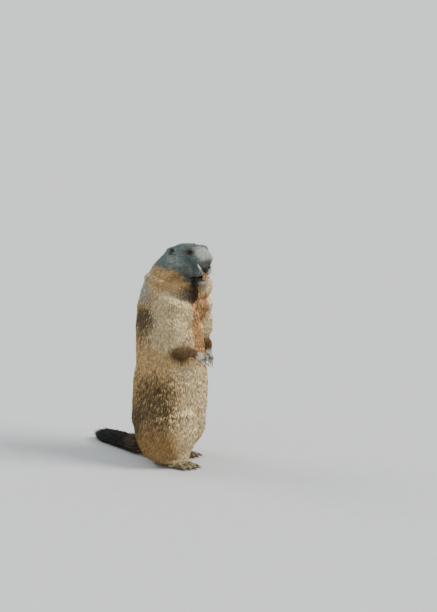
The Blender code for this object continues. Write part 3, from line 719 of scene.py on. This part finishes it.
def shaded_markings(places, depth):
    """The markings at an array of places, with the hollows of the skin added to the shade."""
    marks = markings(places)
    shade = marks[:, MASKS.index("shade")]
    marks[:, MASKS.index("shade")] = np.clip(shade + HOLLOW_SHADE * depth, 0, 1)
    return marks


set_marks(skin.data, shaded_markings(points, cavity))
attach(skin, "root")
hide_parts(*FLESH)
print("skin carries", ", ".join(MASK_NAMES))

# %% [markdown]
# ## Colours of skin and coat
# Marmot hair is banded: dark at its root and pale near its end, and some guard hairs have a dark tip.
# A picture could hold the colours, but it would blur close up. The recipe takes the masks, mixes the
# colours of the markings one over the other, breaks their edges with noise and lets each tuft, and each
# clump of tufts, be a little lighter or darker than the next.

# %% Colours of skin and coat


def marking_colour(wire, place, jitter):
    """The colour of the coat from its masks, with noise that frays each edge."""
    def mask(name):
        index = MASKS.index(name)
        held = wire.node("ShaderNodeAttribute", output=1, attribute_name=MASK_NAMES[index // 3])
        return held.part(index % 3)

    fray = (place.noise(34.0, 3.0) - 0.5) * 0.7 + (jitter - 0.5) * 0.45

    def frayed(name, low=0.28, high=0.72):
        amount = mask(name)
        return (amount + fray * (amount * (1.0 - amount) * 3.4)).between(low, high)

    colour = frayed("cream", 0.05, 0.95).mix(BASE, CREAM)
    colour = frayed("warm").mix(colour, WARM)
    colour = frayed("rust").mix(colour, RUST)
    grizzle = (mask("dark") * 1.2 + fray * 0.3 - jitter * 0.95).between(-0.05, 0.30)
    colour = (grizzle * 0.85).mix(colour, DARK)
    colour = frayed("grey", 0.15, 0.85).mix(colour, GREY)
    colour = frayed("pale", 0.02, 0.98).mix(colour, PALE)
    colour = (frayed("brown", 0.15, 0.85) * 0.9).mix(colour, BROWN)
    colour = (mask("shade") * 0.95).clamp().mix(colour, tone(30, 20, 12))
    return frayed("soot", 0.2, 0.8).mix(colour, SOOT)


material, surface, place = new_material("skin_and_underfur")
grain = place.noise(420.0, 4.0, 0.65)
patches = place.noise(70.0, 3.0)
streaks = place.stretch(1.0, 1.0, 0.25).noise(520.0, 2.0)
colour = marking_colour(place, place, patches)
shadow = ((grain * 0.6 + streaks * 0.4) * 1.1).clamp()
feed(
    surface,
    Base_Color=colour.times_colour(shadow.mix(tone(120, 112, 100), tone(236, 232, 226))),
    Roughness=(grain * 0.2 + 0.68).clamp(),
    Specular_IOR_Level=0.25,
    Normal=(grain + streaks).bump(0.5, 0.0012),
)
skin.data.materials.append(material)

coat_material, surface, place = new_material("guard_hair")
root_place = place.node("ShaderNodeAttribute", output=1, attribute_name="root_place")
hair = place.node("ShaderNodeAttribute", output=1, attribute_name="hair")
along = hair.part(0)
tint = hair.part(1)
clump = hair.part(2)
colour = marking_colour(root_place, root_place, tint)
light = (along.between(0.05, 0.75) * 0.38 + tint * 0.34 + clump * 0.64 + 0.12).clamp()
banded = colour.times_colour(light.mix(tone(104, 90, 72), tone(255, 250, 238)))
dark_tip = along.between(0.50, 0.90) * tint.between(0.56, 0.74) * 0.72
feed(
    surface,
    Base_Color=dark_tip.mix(banded, tone(56, 46, 34)),
    Roughness=(root_place.noise(900.0, 2.0) * 0.18 + 0.50).clamp(),
    Specular_IOR_Level=0.22,
    Normal=place.noise(2600.0, 2.0).bump(0.25, 0.0004),
)
print("materials:", material.name, coat_material.name)

# %% [markdown]
# ## Coat laid out flat
# Each piece of the coat also carries a flat layout named OFBake. An automatic unwrap of more than a
# million small faces would take very long. So each group of body parts is laid out like the label of a
# bottle, round its axis by along it, in a rectangle of its own.

# %% Coat laid out flat
# per group of parts: its members, and its rectangle when it is laid out flat
GROUPS = {
    "trunk": (("neck", "chest", "belly"), (0.01, 0.01, 0.60, 0.62)),
    "head": (("head", "ear_left", "ear_right"), (0.63, 0.01, 0.99, 0.40)),
    "arm_left": (("upper_arm_left", "forearm_left", "hand_left"), (0.63, 0.43, 0.79, 0.70)),
    "arm_right": (("upper_arm_right", "forearm_right", "hand_right"), (0.82, 0.43, 0.99, 0.70)),
    "leg_left": (("thigh_left", "shank_left", "foot_left"), (0.01, 0.65, 0.29, 0.99)),
    "leg_right": (("thigh_right", "shank_right", "foot_right"), (0.32, 0.65, 0.60, 0.99)),
    "tail": (("tail",), (0.63, 0.73, 0.99, 0.99)),
}
AXES = {
    "trunk": (axis_floor, axis_floor + Vector((0, 0, 0.46))),
    "head": (on_head(0, -0.075, 0.45), on_head(0, 0.075, 0.45)),
    "tail": (axis_floor + Vector(TAIL_CORE[0][0]), axis_floor + Vector(TAIL_CORE[-1][0])),
}
for side in BOTH:
    AXES["arm_" + side] = (middle("upper_arm_" + side) + Vector((0, 0, 0.05)), middle("hand_" + side))
    AXES["leg_" + side] = (middle("thigh_" + side) + Vector((0, 0, 0.05)), middle("foot_" + side))


def unwrapped(places, group):
    """Places of one group laid out flat: round its axis by along it, in the group's own rectangle."""
    start, end = (np.array(point) for point in AXES[group])
    run = (end - start) / np.linalg.norm(end - start)
    level = unit(np.cross(run, (0.3, 0.9, 0.2)).reshape(1, 3))[0]
    other = np.cross(run, level)
    offset = places - start
    turn = np.arctan2(offset @ level, offset @ other) / (2 * math.pi) + 0.5
    reach = offset @ run
    reach = (reach - reach.min()) / max(np.ptp(reach), 1e-6)
    low_u, low_v, high_u, high_v = GROUPS[group][1]
    return np.stack((low_u + turn * (high_u - low_u), low_v + reach * (high_v - low_v)), 1)


print("groups:", ", ".join(GROUPS))

# %% [markdown]
# ## Where the tufts grow
# Hair stands closer on the face than on the trunk. Tufts set in rows would look like a brush from a
# factory, so their places are drawn at random, with a fixed seed, on the triangles of the skin, as often
# as the size of a triangle and the crowding there ask. The soles stay bare.

# %% Where the tufts grow
SQUARE_CENTIMETRES = 10000.0
CROWD = 1.2
BARE_SOLE = 0.0015
draw = np.random.default_rng(20)
skin.data.calc_loop_triangles()
triangles = numbers(skin.data.loop_triangles, "vertices", 3, np.int64)
first, second, third = (points[triangles[:, k]] for k in range(3))
areas = 0.5 * np.linalg.norm(np.cross(second - first, third - first), axis=1) * SQUARE_CENTIMETRES
wanted = areas * habit[:, 3][triangles].mean(1)
total = int(wanted.sum() * CROWD)
running = np.cumsum(wanted)
chosen = np.searchsorted(running, draw.random(total) * running[-1])
weights = draw.dirichlet((1.0, 1.0, 1.0), total)
corner = triangles[chosen]


def blended(values):
    """Values at the drawn places from the three corners round each."""
    return (values[corner] * weights[:, :, None]).sum(1)


roots = blended(points)
outward = unit(blended(normals))
way = blended(lie)
own = blended(habit)
part = owner[corner[:, 0]]
keep = roots[:, 2] > BARE_SOLE
roots, outward, way, own, part = roots[keep], outward[keep], way[keep], own[keep], part[keep]
amount = len(roots)
print("tufts:", amount)

# %% [markdown]
# ## How each tuft lies
# A tuft follows the lie of the coat, but no two lie quite alike: they swirl slowly over the body and each
# strays a little. Tufts also lean together into small clumps, as damp or dusty fur does, which gives the
# streaks seen all over the animal. Each could lean at random, but only a shared point for every few tufts
# makes a clump. At the tail's end hair may stand straight out of the skin.

# %% How each tuft lies
SWIRL = 0.12
WANDER = 0.11
LENGTHS = (0.75, 1.20)
WIDTHS = (0.42, 0.90)
END_ON = 0.85
CLUMP_SIZE = 9
CLUMP_PULL = 0.40
LONGEST_PULL = 0.4
brush = (part == FLESH.index("tail"))[:, None]
against = (way * outward).sum(1, keepdims=True)
end_on = brush & (np.abs(against) > END_ON)
way = unit(np.where(end_on, way, way - outward * against))
beside = np.cross(way, outward)
swirl = SWIRL * np.sin(31.0 * roots[:, 2] + 47.0 * roots[:, 0] + 2.0 * np.sin(60.0 * roots[:, 1]))
swirl = swirl + draw.normal(0.0, WANDER, amount)
way = way * np.cos(swirl)[:, None] + beside * np.sin(swirl)[:, None]
beside = np.cross(way, outward)
length = (own[:, 1] * draw.uniform(*LENGTHS, amount))[:, None]
half = (own[:, 2] * draw.uniform(*WIDTHS, amount) * 0.5)[:, None]
seeds = draw.choice(amount, amount // CLUMP_SIZE, replace=False)
finder = KDTree(len(seeds))
for index, seed in enumerate(seeds):
    finder.insert(roots[seed], index)
finder.balance()
nearest = seeds[np.array([finder.find(place)[1] for place in roots])]
pull = (roots[nearest] + way[nearest] * length[nearest]) - (roots + way * length)
far_pull = np.linalg.norm(pull, axis=1, keepdims=True)
pull = pull * np.minimum(1.0, LONGEST_PULL * length / np.maximum(far_pull, 1e-6)) * CLUMP_PULL
print("clumps:", len(seeds))

# %% [markdown]
# ## Shape of each tuft
# Fur is often made as hair particles or hair curves, but those are no solid shapes and get lost when a
# model leaves Blender. Here every tuft is a thin closed wedge of only ten triangles, which still bends
# once, has a crest to catch the light and ends in a point. It roots in the skin and rises to about the
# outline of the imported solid. On the tail the tufts stand out as a brush.

# %% Shape of each tuft
RISES = (0.72, 1.14)
BRUSH_RISES = (0.35, 1.0)
BRUSH_LOW = 0.0020
BRUSH_MORE = 0.0070
ROOT_DEPTH = 0.0006
LOWEST = 0.0004
# three points round the root, three round the middle and one at the tip
TUFT_POINTS = 7
TUFT_FACES = np.array(
    [(0, 2, 1), (0, 1, 4), (0, 4, 3), (1, 2, 5), (1, 5, 4)]
    + [(2, 0, 3), (2, 3, 5), (3, 4, 6), (4, 5, 6), (5, 3, 6)]
)
rise = (own[:, 0] * draw.uniform(*RISES, amount))[:, None] + UNDER_ROOTS
before_end = 1 - smooth(roots[:, 1] - axis_floor.y, 0.185, 0.205)[:, None]
brush_rise = (BRUSH_LOW + BRUSH_MORE * before_end) * draw.uniform(*BRUSH_RISES, (amount, 1))
rise = np.where(brush, brush_rise, rise)
rise = np.where(end_on, 0.0, rise)
pull = np.where(brush, pull * 0.3, pull)
centre = roots - outward * ROOT_DEPTH
centre_mid = roots + way * length * 0.48 + outward * rise * 0.80 + pull * 0.35
tip = roots + way * length + outward * rise + pull
crest = outward * half * 0.7
shapes = np.stack(
    (
        centre - beside * half,
        centre + beside * half,
        centre + crest,
        centre_mid - beside * half * 0.85,
        centre_mid + beside * half * 0.85,
        centre_mid + crest * 0.9,
        tip,
    ),
    1,
)
shapes[:, :, 2] = np.maximum(shapes[:, :, 2], LOWEST)
print("triangles of the coat:", amount * len(TUFT_FACES))

# %% [markdown]
# ## What each tuft carries
# A tuft has one colour from its root's place on the body, one lightness of its own and one that it shares
# with its clump. Each tuft could have a material of its own, but thousands of them would slow Blender
# down. Stored as numbers on the mesh, they let one material colour the whole coat.

# %% What each tuft carries
tints = draw.random(amount)
clump_tint = draw.random(amount)[nearest]
coat_marks = shaded_markings(roots, (cavity[corner] * weights).sum(1)[keep])
flat = np.zeros((amount, 2))
in_group = {}
for group, (members, _) in GROUPS.items():
    inside = np.isin(part, [FLESH.index(member) for member in members])
    flat[inside] = unwrapped(roots[inside], group)
    in_group[group] = np.flatnonzero(inside)
    print(group, len(in_group[group]), "tufts")

# %% [markdown]
# ## Pieces of the coat
# The coat could be one mesh, but one of more than a million triangles is slow to handle. Each group of
# body parts has its own pieces instead, cut from below upwards into shares of a handy size.

# %% Pieces of the coat
ALONG = np.array([0.0, 0.0, 0.0, 0.5, 0.5, 0.5, 1.0])
ASIDE = np.array([-0.5, 0.5, 0.0, -0.5, 0.5, 0.0, 0.0])
PATCH = 0.003
MOST_IN_PIECE = 19000


def tuft_mesh(name, rows):
    """One piece that holds the tufts of the given rows, with all that their colours need."""
    count = len(rows)
    faces = (TUFT_FACES[None] + TUFT_POINTS * np.arange(count)[:, None, None]).reshape(-1, 3)
    mesh = bpy.data.meshes.new(name)
    mesh.vertices.add(count * TUFT_POINTS)
    mesh.vertices.foreach_set("co", shapes[rows].astype(np.float32).ravel())
    mesh.loops.add(faces.size)
    mesh.loops.foreach_set("vertex_index", faces.astype(np.int32).ravel())
    mesh.polygons.add(len(faces))
    mesh.polygons.foreach_set("loop_start", np.arange(0, faces.size, 3, dtype=np.int32))
    mesh.update(calc_edges=True)
    set_vectors(mesh, "root_place", np.repeat(roots[rows], TUFT_POINTS, 0))
    own_tints = np.stack((tints[rows], clump_tint[rows]), 1)
    hair_values = np.column_stack((np.tile(ALONG, count), np.repeat(own_tints, TUFT_POINTS, 0)))
    set_vectors(mesh, "hair", hair_values)
    set_marks(mesh, np.repeat(coat_marks[rows], TUFT_POINTS, 0))
    patch = np.stack((ALONG - 0.5, ASIDE), 1) * PATCH
    spots = (flat[rows][:, None, :] + patch[None]).reshape(-1, 2)
    layer = mesh.uv_layers.new(name="OFBake")
    layer.uv.foreach_set("vector", spots[faces.ravel()].astype(np.float32).ravel())
    mesh.polygons.foreach_set("use_smooth", np.ones(len(faces), dtype=bool))
    item = add_object(name, mesh)
    mesh.materials.append(coat_material)
    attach(item, "root")
    return item


for group, rows in in_group.items():
    rows = rows[np.argsort(roots[rows, 2])]
    shares = math.ceil(len(rows) / MOST_IN_PIECE)
    for number, share in enumerate(np.array_split(rows, shares)):
        name = f"coat_{group}" if shares == 1 else f"coat_{group}_{number + 1}"
        piece = tuft_mesh(name, share)
        print(name, len(share), "tufts")

# %% [markdown]
# ## Eyes
# A marmot's eye is nearly black: a dark brown iris fills the opening and only a wet glint shows. A disc
# with a dark colour could do from afar, but only a round ball bends the glint as a wet eye does. It is a
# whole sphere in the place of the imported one, coloured by how far each place lies towards the look.

# %% Eyes


def looks_towards(side):
    """The way an eye looks: outward, a little ahead and up."""
    return turned(side * 0.86, 0.46, 0.22).normalized()


def facing(side):
    """The turn that takes Z to the way the eye looks and keeps X level."""
    look = looks_towards(side)
    level = Vector((0, 0, 1)).cross(look).normalized()
    return Matrix((level, look.cross(level), look)).transposed().to_4x4()


def set_down(item, matrix):
    """Moves the points of a piece, so that the piece itself stays at the origin."""
    item.data.transform(matrix)
    item.matrix_world = Matrix.Identity(4)
    item.data.update()


for side in (LEFT, RIGHT):
    name = SIDE_NAMES[side]
    centre = middle("eye_" + name)
    let_go()
    bpy.ops.mesh.primitive_uv_sphere_add(segments=48, ring_count=32, radius=EYE_RADIUS)
    ball = bpy.context.object
    ball.name = "eyeball_" + name
    shade_smooth(ball)
    set_down(ball, Matrix.Translation(centre) @ facing(side))
    material, surface, place = new_material("eye_" + name)
    offset = place.node("ShaderNodeVectorMath", {0: place, 1: tuple(centre)}, operation="SUBTRACT")
    frontness = offset.reach(looks_towards(side) / EYE_RADIUS)
    rays = place.noise(1500.0, 3.0)
    brown_iris = rays.mix(tone(26, 15, 9), tone(58, 36, 20))
    iris = frontness.between(0.58, 0.72).mix(tone(30, 20, 16), brown_iris)
    colour = frontness.between(0.86, 0.89).mix(iris, tone(5, 5, 6))
    feed(surface, Base_Color=colour, Roughness=rays * 0.04 + 0.06, IOR=1.42)
    ball.data.materials.append(material)
    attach(ball, "root")
    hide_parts("eye_" + name)
    print(ball.name, "looks towards", [round(v, 2) for v in looks_towards(side)])

# %% [markdown]
# ## Lids
# Round each eye lies a rolled, hairless rim of dark skin. It could be pulled out of the skin, whose mesh
# is too coarse for it. A ring is pressed to the shape of the opening instead and set round the ball.

# %% Lids
LID_RADIUS = 0.0061
LID_THICKNESS = 0.0012
LID_AHEAD = 0.0040
LID_SHAPE = (1.06, 0.80, 1.25)
rim_material, surface, place = new_material("dark_bare_skin")
wrinkles = place.noise(1400.0, 4.0)
feed(
    surface,
    Base_Color=wrinkles.mix(tone(26, 20, 18), tone(62, 48, 40)),
    Roughness=(wrinkles * 0.25 + 0.38).clamp(),
    Normal=wrinkles.bump(0.5, 0.0004),
)
for side in (LEFT, RIGHT):
    name = SIDE_NAMES[side]
    let_go()
    bpy.ops.mesh.primitive_torus_add(
        major_segments=56, minor_segments=14, major_radius=LID_RADIUS, minor_radius=LID_THICKNESS
    )
    rim = bpy.context.object
    rim.name = "lids_" + name
    edit_all(rim, bpy.ops.transform.resize, value=LID_SHAPE, center_override=(0, 0, 0))
    shade_smooth(rim)
    centre = middle("eye_" + name)
    set_down(rim, Matrix.Translation(centre + looks_towards(side) * LID_AHEAD) @ facing(side))
    rim.data.materials.append(rim_material)
    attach(rim, "root")
    print(rim.name, len(rim.data.polygons), "faces")

# %% [markdown]
# ## Nose
# The bare nose is a dark, damp pad, wide at the nostrils and narrow where it runs down to the cleft of
# the upper lip. It could be sculpted, but few numbers say the same: it is melted together from four round
# forms, as a modeller would press it from clay, and the nostrils and the groove are cut out of it.

# %% Nose
NOSE_VOXEL = 0.00045
NOSE_ROUNDS = 5
NOSTRIL_SPOT = (0.0075, 0.0669, 0.4515)
NOSTRIL_RADII = (0.0026, 0.0042, 0.0016)


def mirrored(row, side):
    """A row of across, ahead and more, on the given side of the head."""
    return (side * row[0], *row[1:])


def round_form(centre, radii, turn=0.0, tip=0.0):
    """An ellipsoid on the head, ready to be melted into another form."""
    let_go()
    bpy.ops.mesh.primitive_uv_sphere_add(segments=32, ring_count=20, radius=1.0)
    item = bpy.context.object
    edit_all(item, bpy.ops.transform.resize, value=radii, center_override=(0, 0, 0))
    turning = Matrix.Rotation(-HEAD_TURN + turn, 4, "Z") @ Matrix.Rotation(tip, 4, "Y")
    set_down(item, Matrix.Translation(on_head(*centre)) @ turning)
    return item


def cut_away(item, tool):
    """Takes one form out of another."""
    apply_modifier(item, "BOOLEAN", operation="DIFFERENCE", solver="EXACT", object=tool)
    bpy.data.objects.remove(tool)


forms = [
    round_form((0.0, 0.0616, 0.4555), (0.0142, 0.0050, 0.0046)),
    round_form((0.0, 0.0624, 0.4480), (0.0052, 0.0046, 0.0075)),
    round_form((0.0070, 0.0620, 0.4525), (0.0062, 0.0050, 0.0052)),
    round_form((-0.0070, 0.0620, 0.4525), (0.0062, 0.0050, 0.0052)),
]
nose = joined(forms, "nose_pad")
melt(nose, NOSE_VOXEL, NOSE_ROUNDS)
for side in (LEFT, RIGHT):
    nostril = round_form(mirrored(NOSTRIL_SPOT, side), NOSTRIL_RADII, side * 0.55, side * 0.5)
    cut_away(nose, nostril)
cut_away(nose, round_form((0.0, 0.0684, 0.4450), (0.0005, 0.0030, 0.0060)))
nose_material, surface, place = new_material("nose_leather")
pebbles = place.node("ShaderNodeTexVoronoi", {"Vector": place, "Scale": 1500.0})
damp = place.noise(260.0, 3.0)
feed(
    surface,
    Base_Color=damp.mix(tone(8, 7, 8), tone(22, 18, 17)),
    Roughness=(damp * 0.25 + 0.46).clamp(),
    Normal=pebbles.bump(0.45, 0.0003),
)
nose.data.materials.append(nose_material)
shade_smooth(nose)
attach(nose, "root")
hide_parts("nose")
print("nose faces:", len(nose.data.polygons))

# %% [markdown]
# ## Lips
# The upper lip is cleft. Its rims are pale in front and dark at the corners of the mouth, and the lower
# lip is a dark rim on the short lower jaw. They could be part of the skin, but its mesh is too coarse for
# rims of two millimetres, so each is a soft roll of its own, laid along the edge of the mouth.

# %% Lips
# each lip's rim as rows of across, ahead, up and radius
UPPER_LIP = (
    (0.0230, 0.0552, 0.4655, 0.0006),
    (0.0200, 0.0580, 0.4590, 0.0017),
    (0.0162, 0.0600, 0.4510, 0.0021),
    (0.0128, 0.0612, 0.4440, 0.0022),
    (0.0100, 0.0606, 0.4370, 0.0018),
    (0.0145, 0.0525, 0.4325, 0.0012),
    (0.0190, 0.0430, 0.4320, 0.0010),
    (0.0215, 0.0330, 0.4330, 0.0004),
)
LOWER_LIP_HALF = (
    (0.0180, 0.0360, 0.4292, 0.0004),
    (0.0145, 0.0470, 0.4282, 0.0014),
    (0.0085, 0.0545, 0.4268, 0.0018),
)
LOWER_LIP_MIDDLE = (0.0000, 0.0568, 0.4255, 0.0020)


def lip_rim(name, rows, material):
    """A soft rim along a lip."""
    lip = swept(name, [on_head(*row[:3]) for row in rows], [row[3] for row in rows])
    lip.data.materials.append(material)
    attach(lip, "root")
    print(name, len(lip.data.polygons), "faces")


lip_material, surface, place = new_material("lip_rim")
fuzz = place.noise(900.0, 4.0)
edge = on_head(0, 0.0545, 0).dot(turned(0, 1, 0))
raised = place.part(2).between(on_head(0, 0, 0.4365).z, on_head(0, 0, 0.4395).z)
in_front = place.reach(turned(0, 1, 0)).between(edge - 0.006, edge) * raised
feed(
    surface,
    Base_Color=in_front.mix(tone(60, 48, 38), fuzz.mix(tone(196, 180, 146), tone(250, 240, 214))),
    Roughness=(fuzz * 0.2 + 0.6).clamp(),
    Normal=fuzz.bump(0.5, 0.0005),
)
for side in (LEFT, RIGHT):
    lip_rim(f"lip_upper_{SIDE_NAMES[side]}", [mirrored(row, side) for row in UPPER_LIP], lip_material)
far_half = [mirrored(row, RIGHT) for row in reversed(LOWER_LIP_HALF)]
lip_rim("lip_lower", [*LOWER_LIP_HALF, LOWER_LIP_MIDDLE, *far_half], rim_material)

# %% [markdown]
# ## Front teeth
# The two upper front teeth are long, bowed and orange, and their edges are cut at a slant like chisels.
# Each could be a bent block, but a real one is round in front. So it is a tube along a bowed line, cut
# off by a slanting plane that also closes the end.

# %% Front teeth
TOOTH_ASIDE = 0.00335
TOOTH_AHEAD = 0.0545
TOOTH_BOW = 0.0040
TOOTH_TOP = 0.4430
TOOTH_LENGTH = 0.0185
TOOTH_RADIUS = 0.0031
TOOTH_END_RADIUS = 0.0028
TOOTH_STEPS = 6
tooth_material, surface, place = new_material("orange_enamel")
rings = place.stretch(1.0, 1.0, 6.0).noise(300.0, 2.0)
orange = rings.mix(tone(100, 58, 20), tone(176, 120, 54))
above_edge = place.part(2).between(on_head(0, 0, 0.4250).z, on_head(0, 0, 0.4270).z)
feed(
    surface,
    Base_Color=above_edge.mix(tone(196, 158, 110), orange),
    Roughness=(rings * 0.12 + 0.16).clamp(),
    Coat_Weight=0.6,
    Normal=rings.bump(0.15, 0.0002),
)
for side in (LEFT, RIGHT):
    places = []
    for step in range(TOOTH_STEPS + 1):
        share = step / TOOTH_STEPS
        ahead = TOOTH_AHEAD + TOOTH_BOW * math.sin(math.pi * (0.25 + 0.6 * share))
        places.append(on_head(side * TOOTH_ASIDE, ahead, TOOTH_TOP - TOOTH_LENGTH * share))
    radii = [TOOTH_RADIUS] * TOOTH_STEPS + [TOOTH_END_RADIUS]
    tooth = swept(f"front_tooth_{SIDE_NAMES[side]}", places, radii, sides=5)
    edit_all(
        tooth,
        bpy.ops.mesh.bisect,
        plane_co=on_head(0, 0.0582, 0.4258),
        plane_no=turned(0.0, -0.55, -0.83),
        use_fill=True,
        clear_outer=True,
    )
    tooth.data.materials.append(tooth_material)
    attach(tooth, "root")
    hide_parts(f"incisor_upper_{SIDE_NAMES[side]}")
    print(tooth.name, len(tooth.data.polygons), "faces")

# %% [markdown]
# ## Whiskers
# Stiff dark whiskers stand on the pads beside the nose and a few over each eye. A tuft of the coat is too
# short and wide for one, so each is a thin tube of its own, thicker at the root, that sweeps out and back
# and droops a little.

# %% Whiskers
random.seed(5)
WHISKER_RADIUS = 0.00022
WHISKER_STEPS = 7
whisker_curve = bpy.data.curves.new("whiskers", "CURVE")
whisker_curve.dimensions = "3D"
whisker_curve.bevel_depth = 1.0
whisker_curve.bevel_resolution = 1
whisker_curve.use_fill_caps = True


def add_whisker(side, start, way, size):
    """One drooping hair that thins towards its tip."""
    line = whisker_curve.splines.new("POLY")
    line.points.add(WHISKER_STEPS)
    for step, spot in enumerate(line.points):
        share = step / WHISKER_STEPS
        away = turned(*mirrored(way, side)).normalized() * size * share
        place = on_head(*mirrored(start, side)) + away
        place += turned(0.0, -0.35, -0.30) * size * share * share
        spot.co = (*place, 1.0)
        spot.radius = WHISKER_RADIUS * (1.0 - 0.85 * share)


for side in (LEFT, RIGHT):
    for row in range(4):
        for column in range(5):
            start = (0.0105 + 0.0020 * column, 0.0610 - 0.0035 * column, 0.4515 - 0.0034 * row)
            way = (0.9, 0.15 - 0.12 * column, 0.22 - 0.16 * row + random.uniform(-0.06, 0.06))
            add_whisker(side, start, way, random.uniform(0.022, 0.030) + 0.003 * column)
    for number in range(4):
        start = (0.0225 + 0.001 * number, 0.0400 - 0.003 * number, 0.4925)
        add_whisker(side, start, (0.7, 0.1 - 0.15 * number, 0.55), random.uniform(0.014, 0.020))
whiskers = pick(add_object("whiskers", whisker_curve))
bpy.ops.object.convert(target="MESH")
shade_smooth(whiskers)
whisker_material, surface, place = new_material("whisker_hair")
paleness = place.noise(300.0, 1.0)
feed(
    surface,
    Base_Color=paleness.mix(tone(20, 17, 14), tone(64, 52, 40)),
    Roughness=paleness * 0.2 + 0.35,
)
whiskers.data.materials.append(whisker_material)
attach(whiskers, "root")
print("whisker faces:", len(whiskers.data.polygons))

# %% [markdown]
# ## Claws
# The claws are long, blunt digging claws of dark horn with paler, worn streaks. They could be modelled
# anew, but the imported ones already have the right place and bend. So each is copied, rounded by
# subdivision and given grooved horn.

# %% Claws
claw_material, surface, place = new_material("dark_horn")
grooves = place.stretch(1.0, 1.0, 0.3).noise(1300.0, 3.0)
wear = place.noise(260.0, 2.0)
feed(
    surface,
    Base_Color=(wear * 0.5 + grooves * 0.5).clamp().mix(tone(22, 18, 15), tone(104, 88, 68)),
    Roughness=(grooves * 0.25 + 0.28).clamp(),
    Normal=grooves.bump(0.4, 0.0004),
)
claws = [node for node in sorted(nodes) if node.startswith("claw_")]
for node in claws:
    claw = merged_copy(node, "horn_" + node)
    apply_modifier(claw, "SUBSURF", levels=2, render_levels=2)
    shade_smooth(claw)
    claw.data.materials.append(claw_material)
    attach(claw, "root")
    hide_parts(node)
print("claws:", len(claws))

# %% [markdown]
# ## Floor and light
# The animal stands on a plain pale floor. One hard lamp would drown the coat's streaks in black shadows.
# So a bright, even sky fills them, a broad lamp from the front shapes the body, and a weak one from
# behind lights its edge.

# %% Floor and light
FLOOR_SIZE = 400.0
let_go()
bpy.ops.mesh.primitive_plane_add(size=FLOOR_SIZE)
floor = bpy.context.object
floor.name = "floor"
material, surface, place = new_material("studio_floor")
speckle = place.noise(30.0, 3.0)
feed(
    surface,
    Base_Color=speckle.mix(tone(196, 198, 196), tone(206, 208, 206)),
    Roughness=speckle * 0.1 + 0.8,
)
floor.data.materials.append(material)

world = bpy.data.worlds.new("studio")
bpy.context.scene.world = world
world.use_nodes = True
feed(world.node_tree.nodes["Background"], Color=(0.78, 0.84, 0.92, 1.0), Strength=0.85)


def lamp(name, way, spread_angle, strength, colour):
    """A lamp as far away as the sky's light, soft because it is broad."""
    data = bpy.data.lights.new(name, "SUN")
    data.angle = math.radians(spread_angle)
    data.energy = strength
    data.color = colour
    item = add_object(name, data)
    item.rotation_euler = Vector(way).to_track_quat("Z", "Y").to_euler()


lamp("key", (0.0, -0.77, 0.60), 24.0, 4.1, (1.0, 0.97, 0.91))
lamp("rim", (0.13, 0.88, 0.75), 30.0, 1.1, (1.0, 0.98, 0.95))
print("lamps: key and rim")

# %% [markdown]
# ## Camera
# The animal is seen from its right side, a little from the front and from slightly above. The camera
# could be pushed about until the picture fits. Here its place follows from its angle and distance and
# from where the feet stand in the picture, so every number can be checked.

# %% Camera
AZIMUTH = math.radians(-72)
ELEVATION = math.radians(12)
DISTANCE = 4.0
FOCAL = 1755.0
WIDE, TALL = 437, 612
FOOT_PIXEL = (170.0, 460.0)
SENSOR = 36.0
rightward = Vector((math.cos(AZIMUTH), math.sin(AZIMUTH), 0.0))
level = math.cos(ELEVATION)
behind = Vector((math.sin(AZIMUTH) * level, -math.cos(AZIMUTH) * level, math.sin(ELEVATION)))
upward = behind.cross(rightward)
aim = axis_floor + rightward * ((WIDE / 2 - FOOT_PIXEL[0]) * DISTANCE / FOCAL)
aim += upward * ((FOOT_PIXEL[1] - TALL / 2) * DISTANCE / FOCAL)
camera = add_object("camera", bpy.data.cameras.new("camera"))
camera.data.sensor_fit = "AUTO"
camera.data.sensor_width = SENSOR
camera.data.lens = SENSOR * FOCAL / TALL
camera.data.clip_end = 100.0
camera.location = aim + behind * DISTANCE
camera.rotation_euler = Matrix((rightward, upward, behind)).transposed().to_euler()
bpy.context.scene.camera = camera
print("camera:", [round(v, 3) for v in camera.location], "lens", round(camera.data.lens, 1))
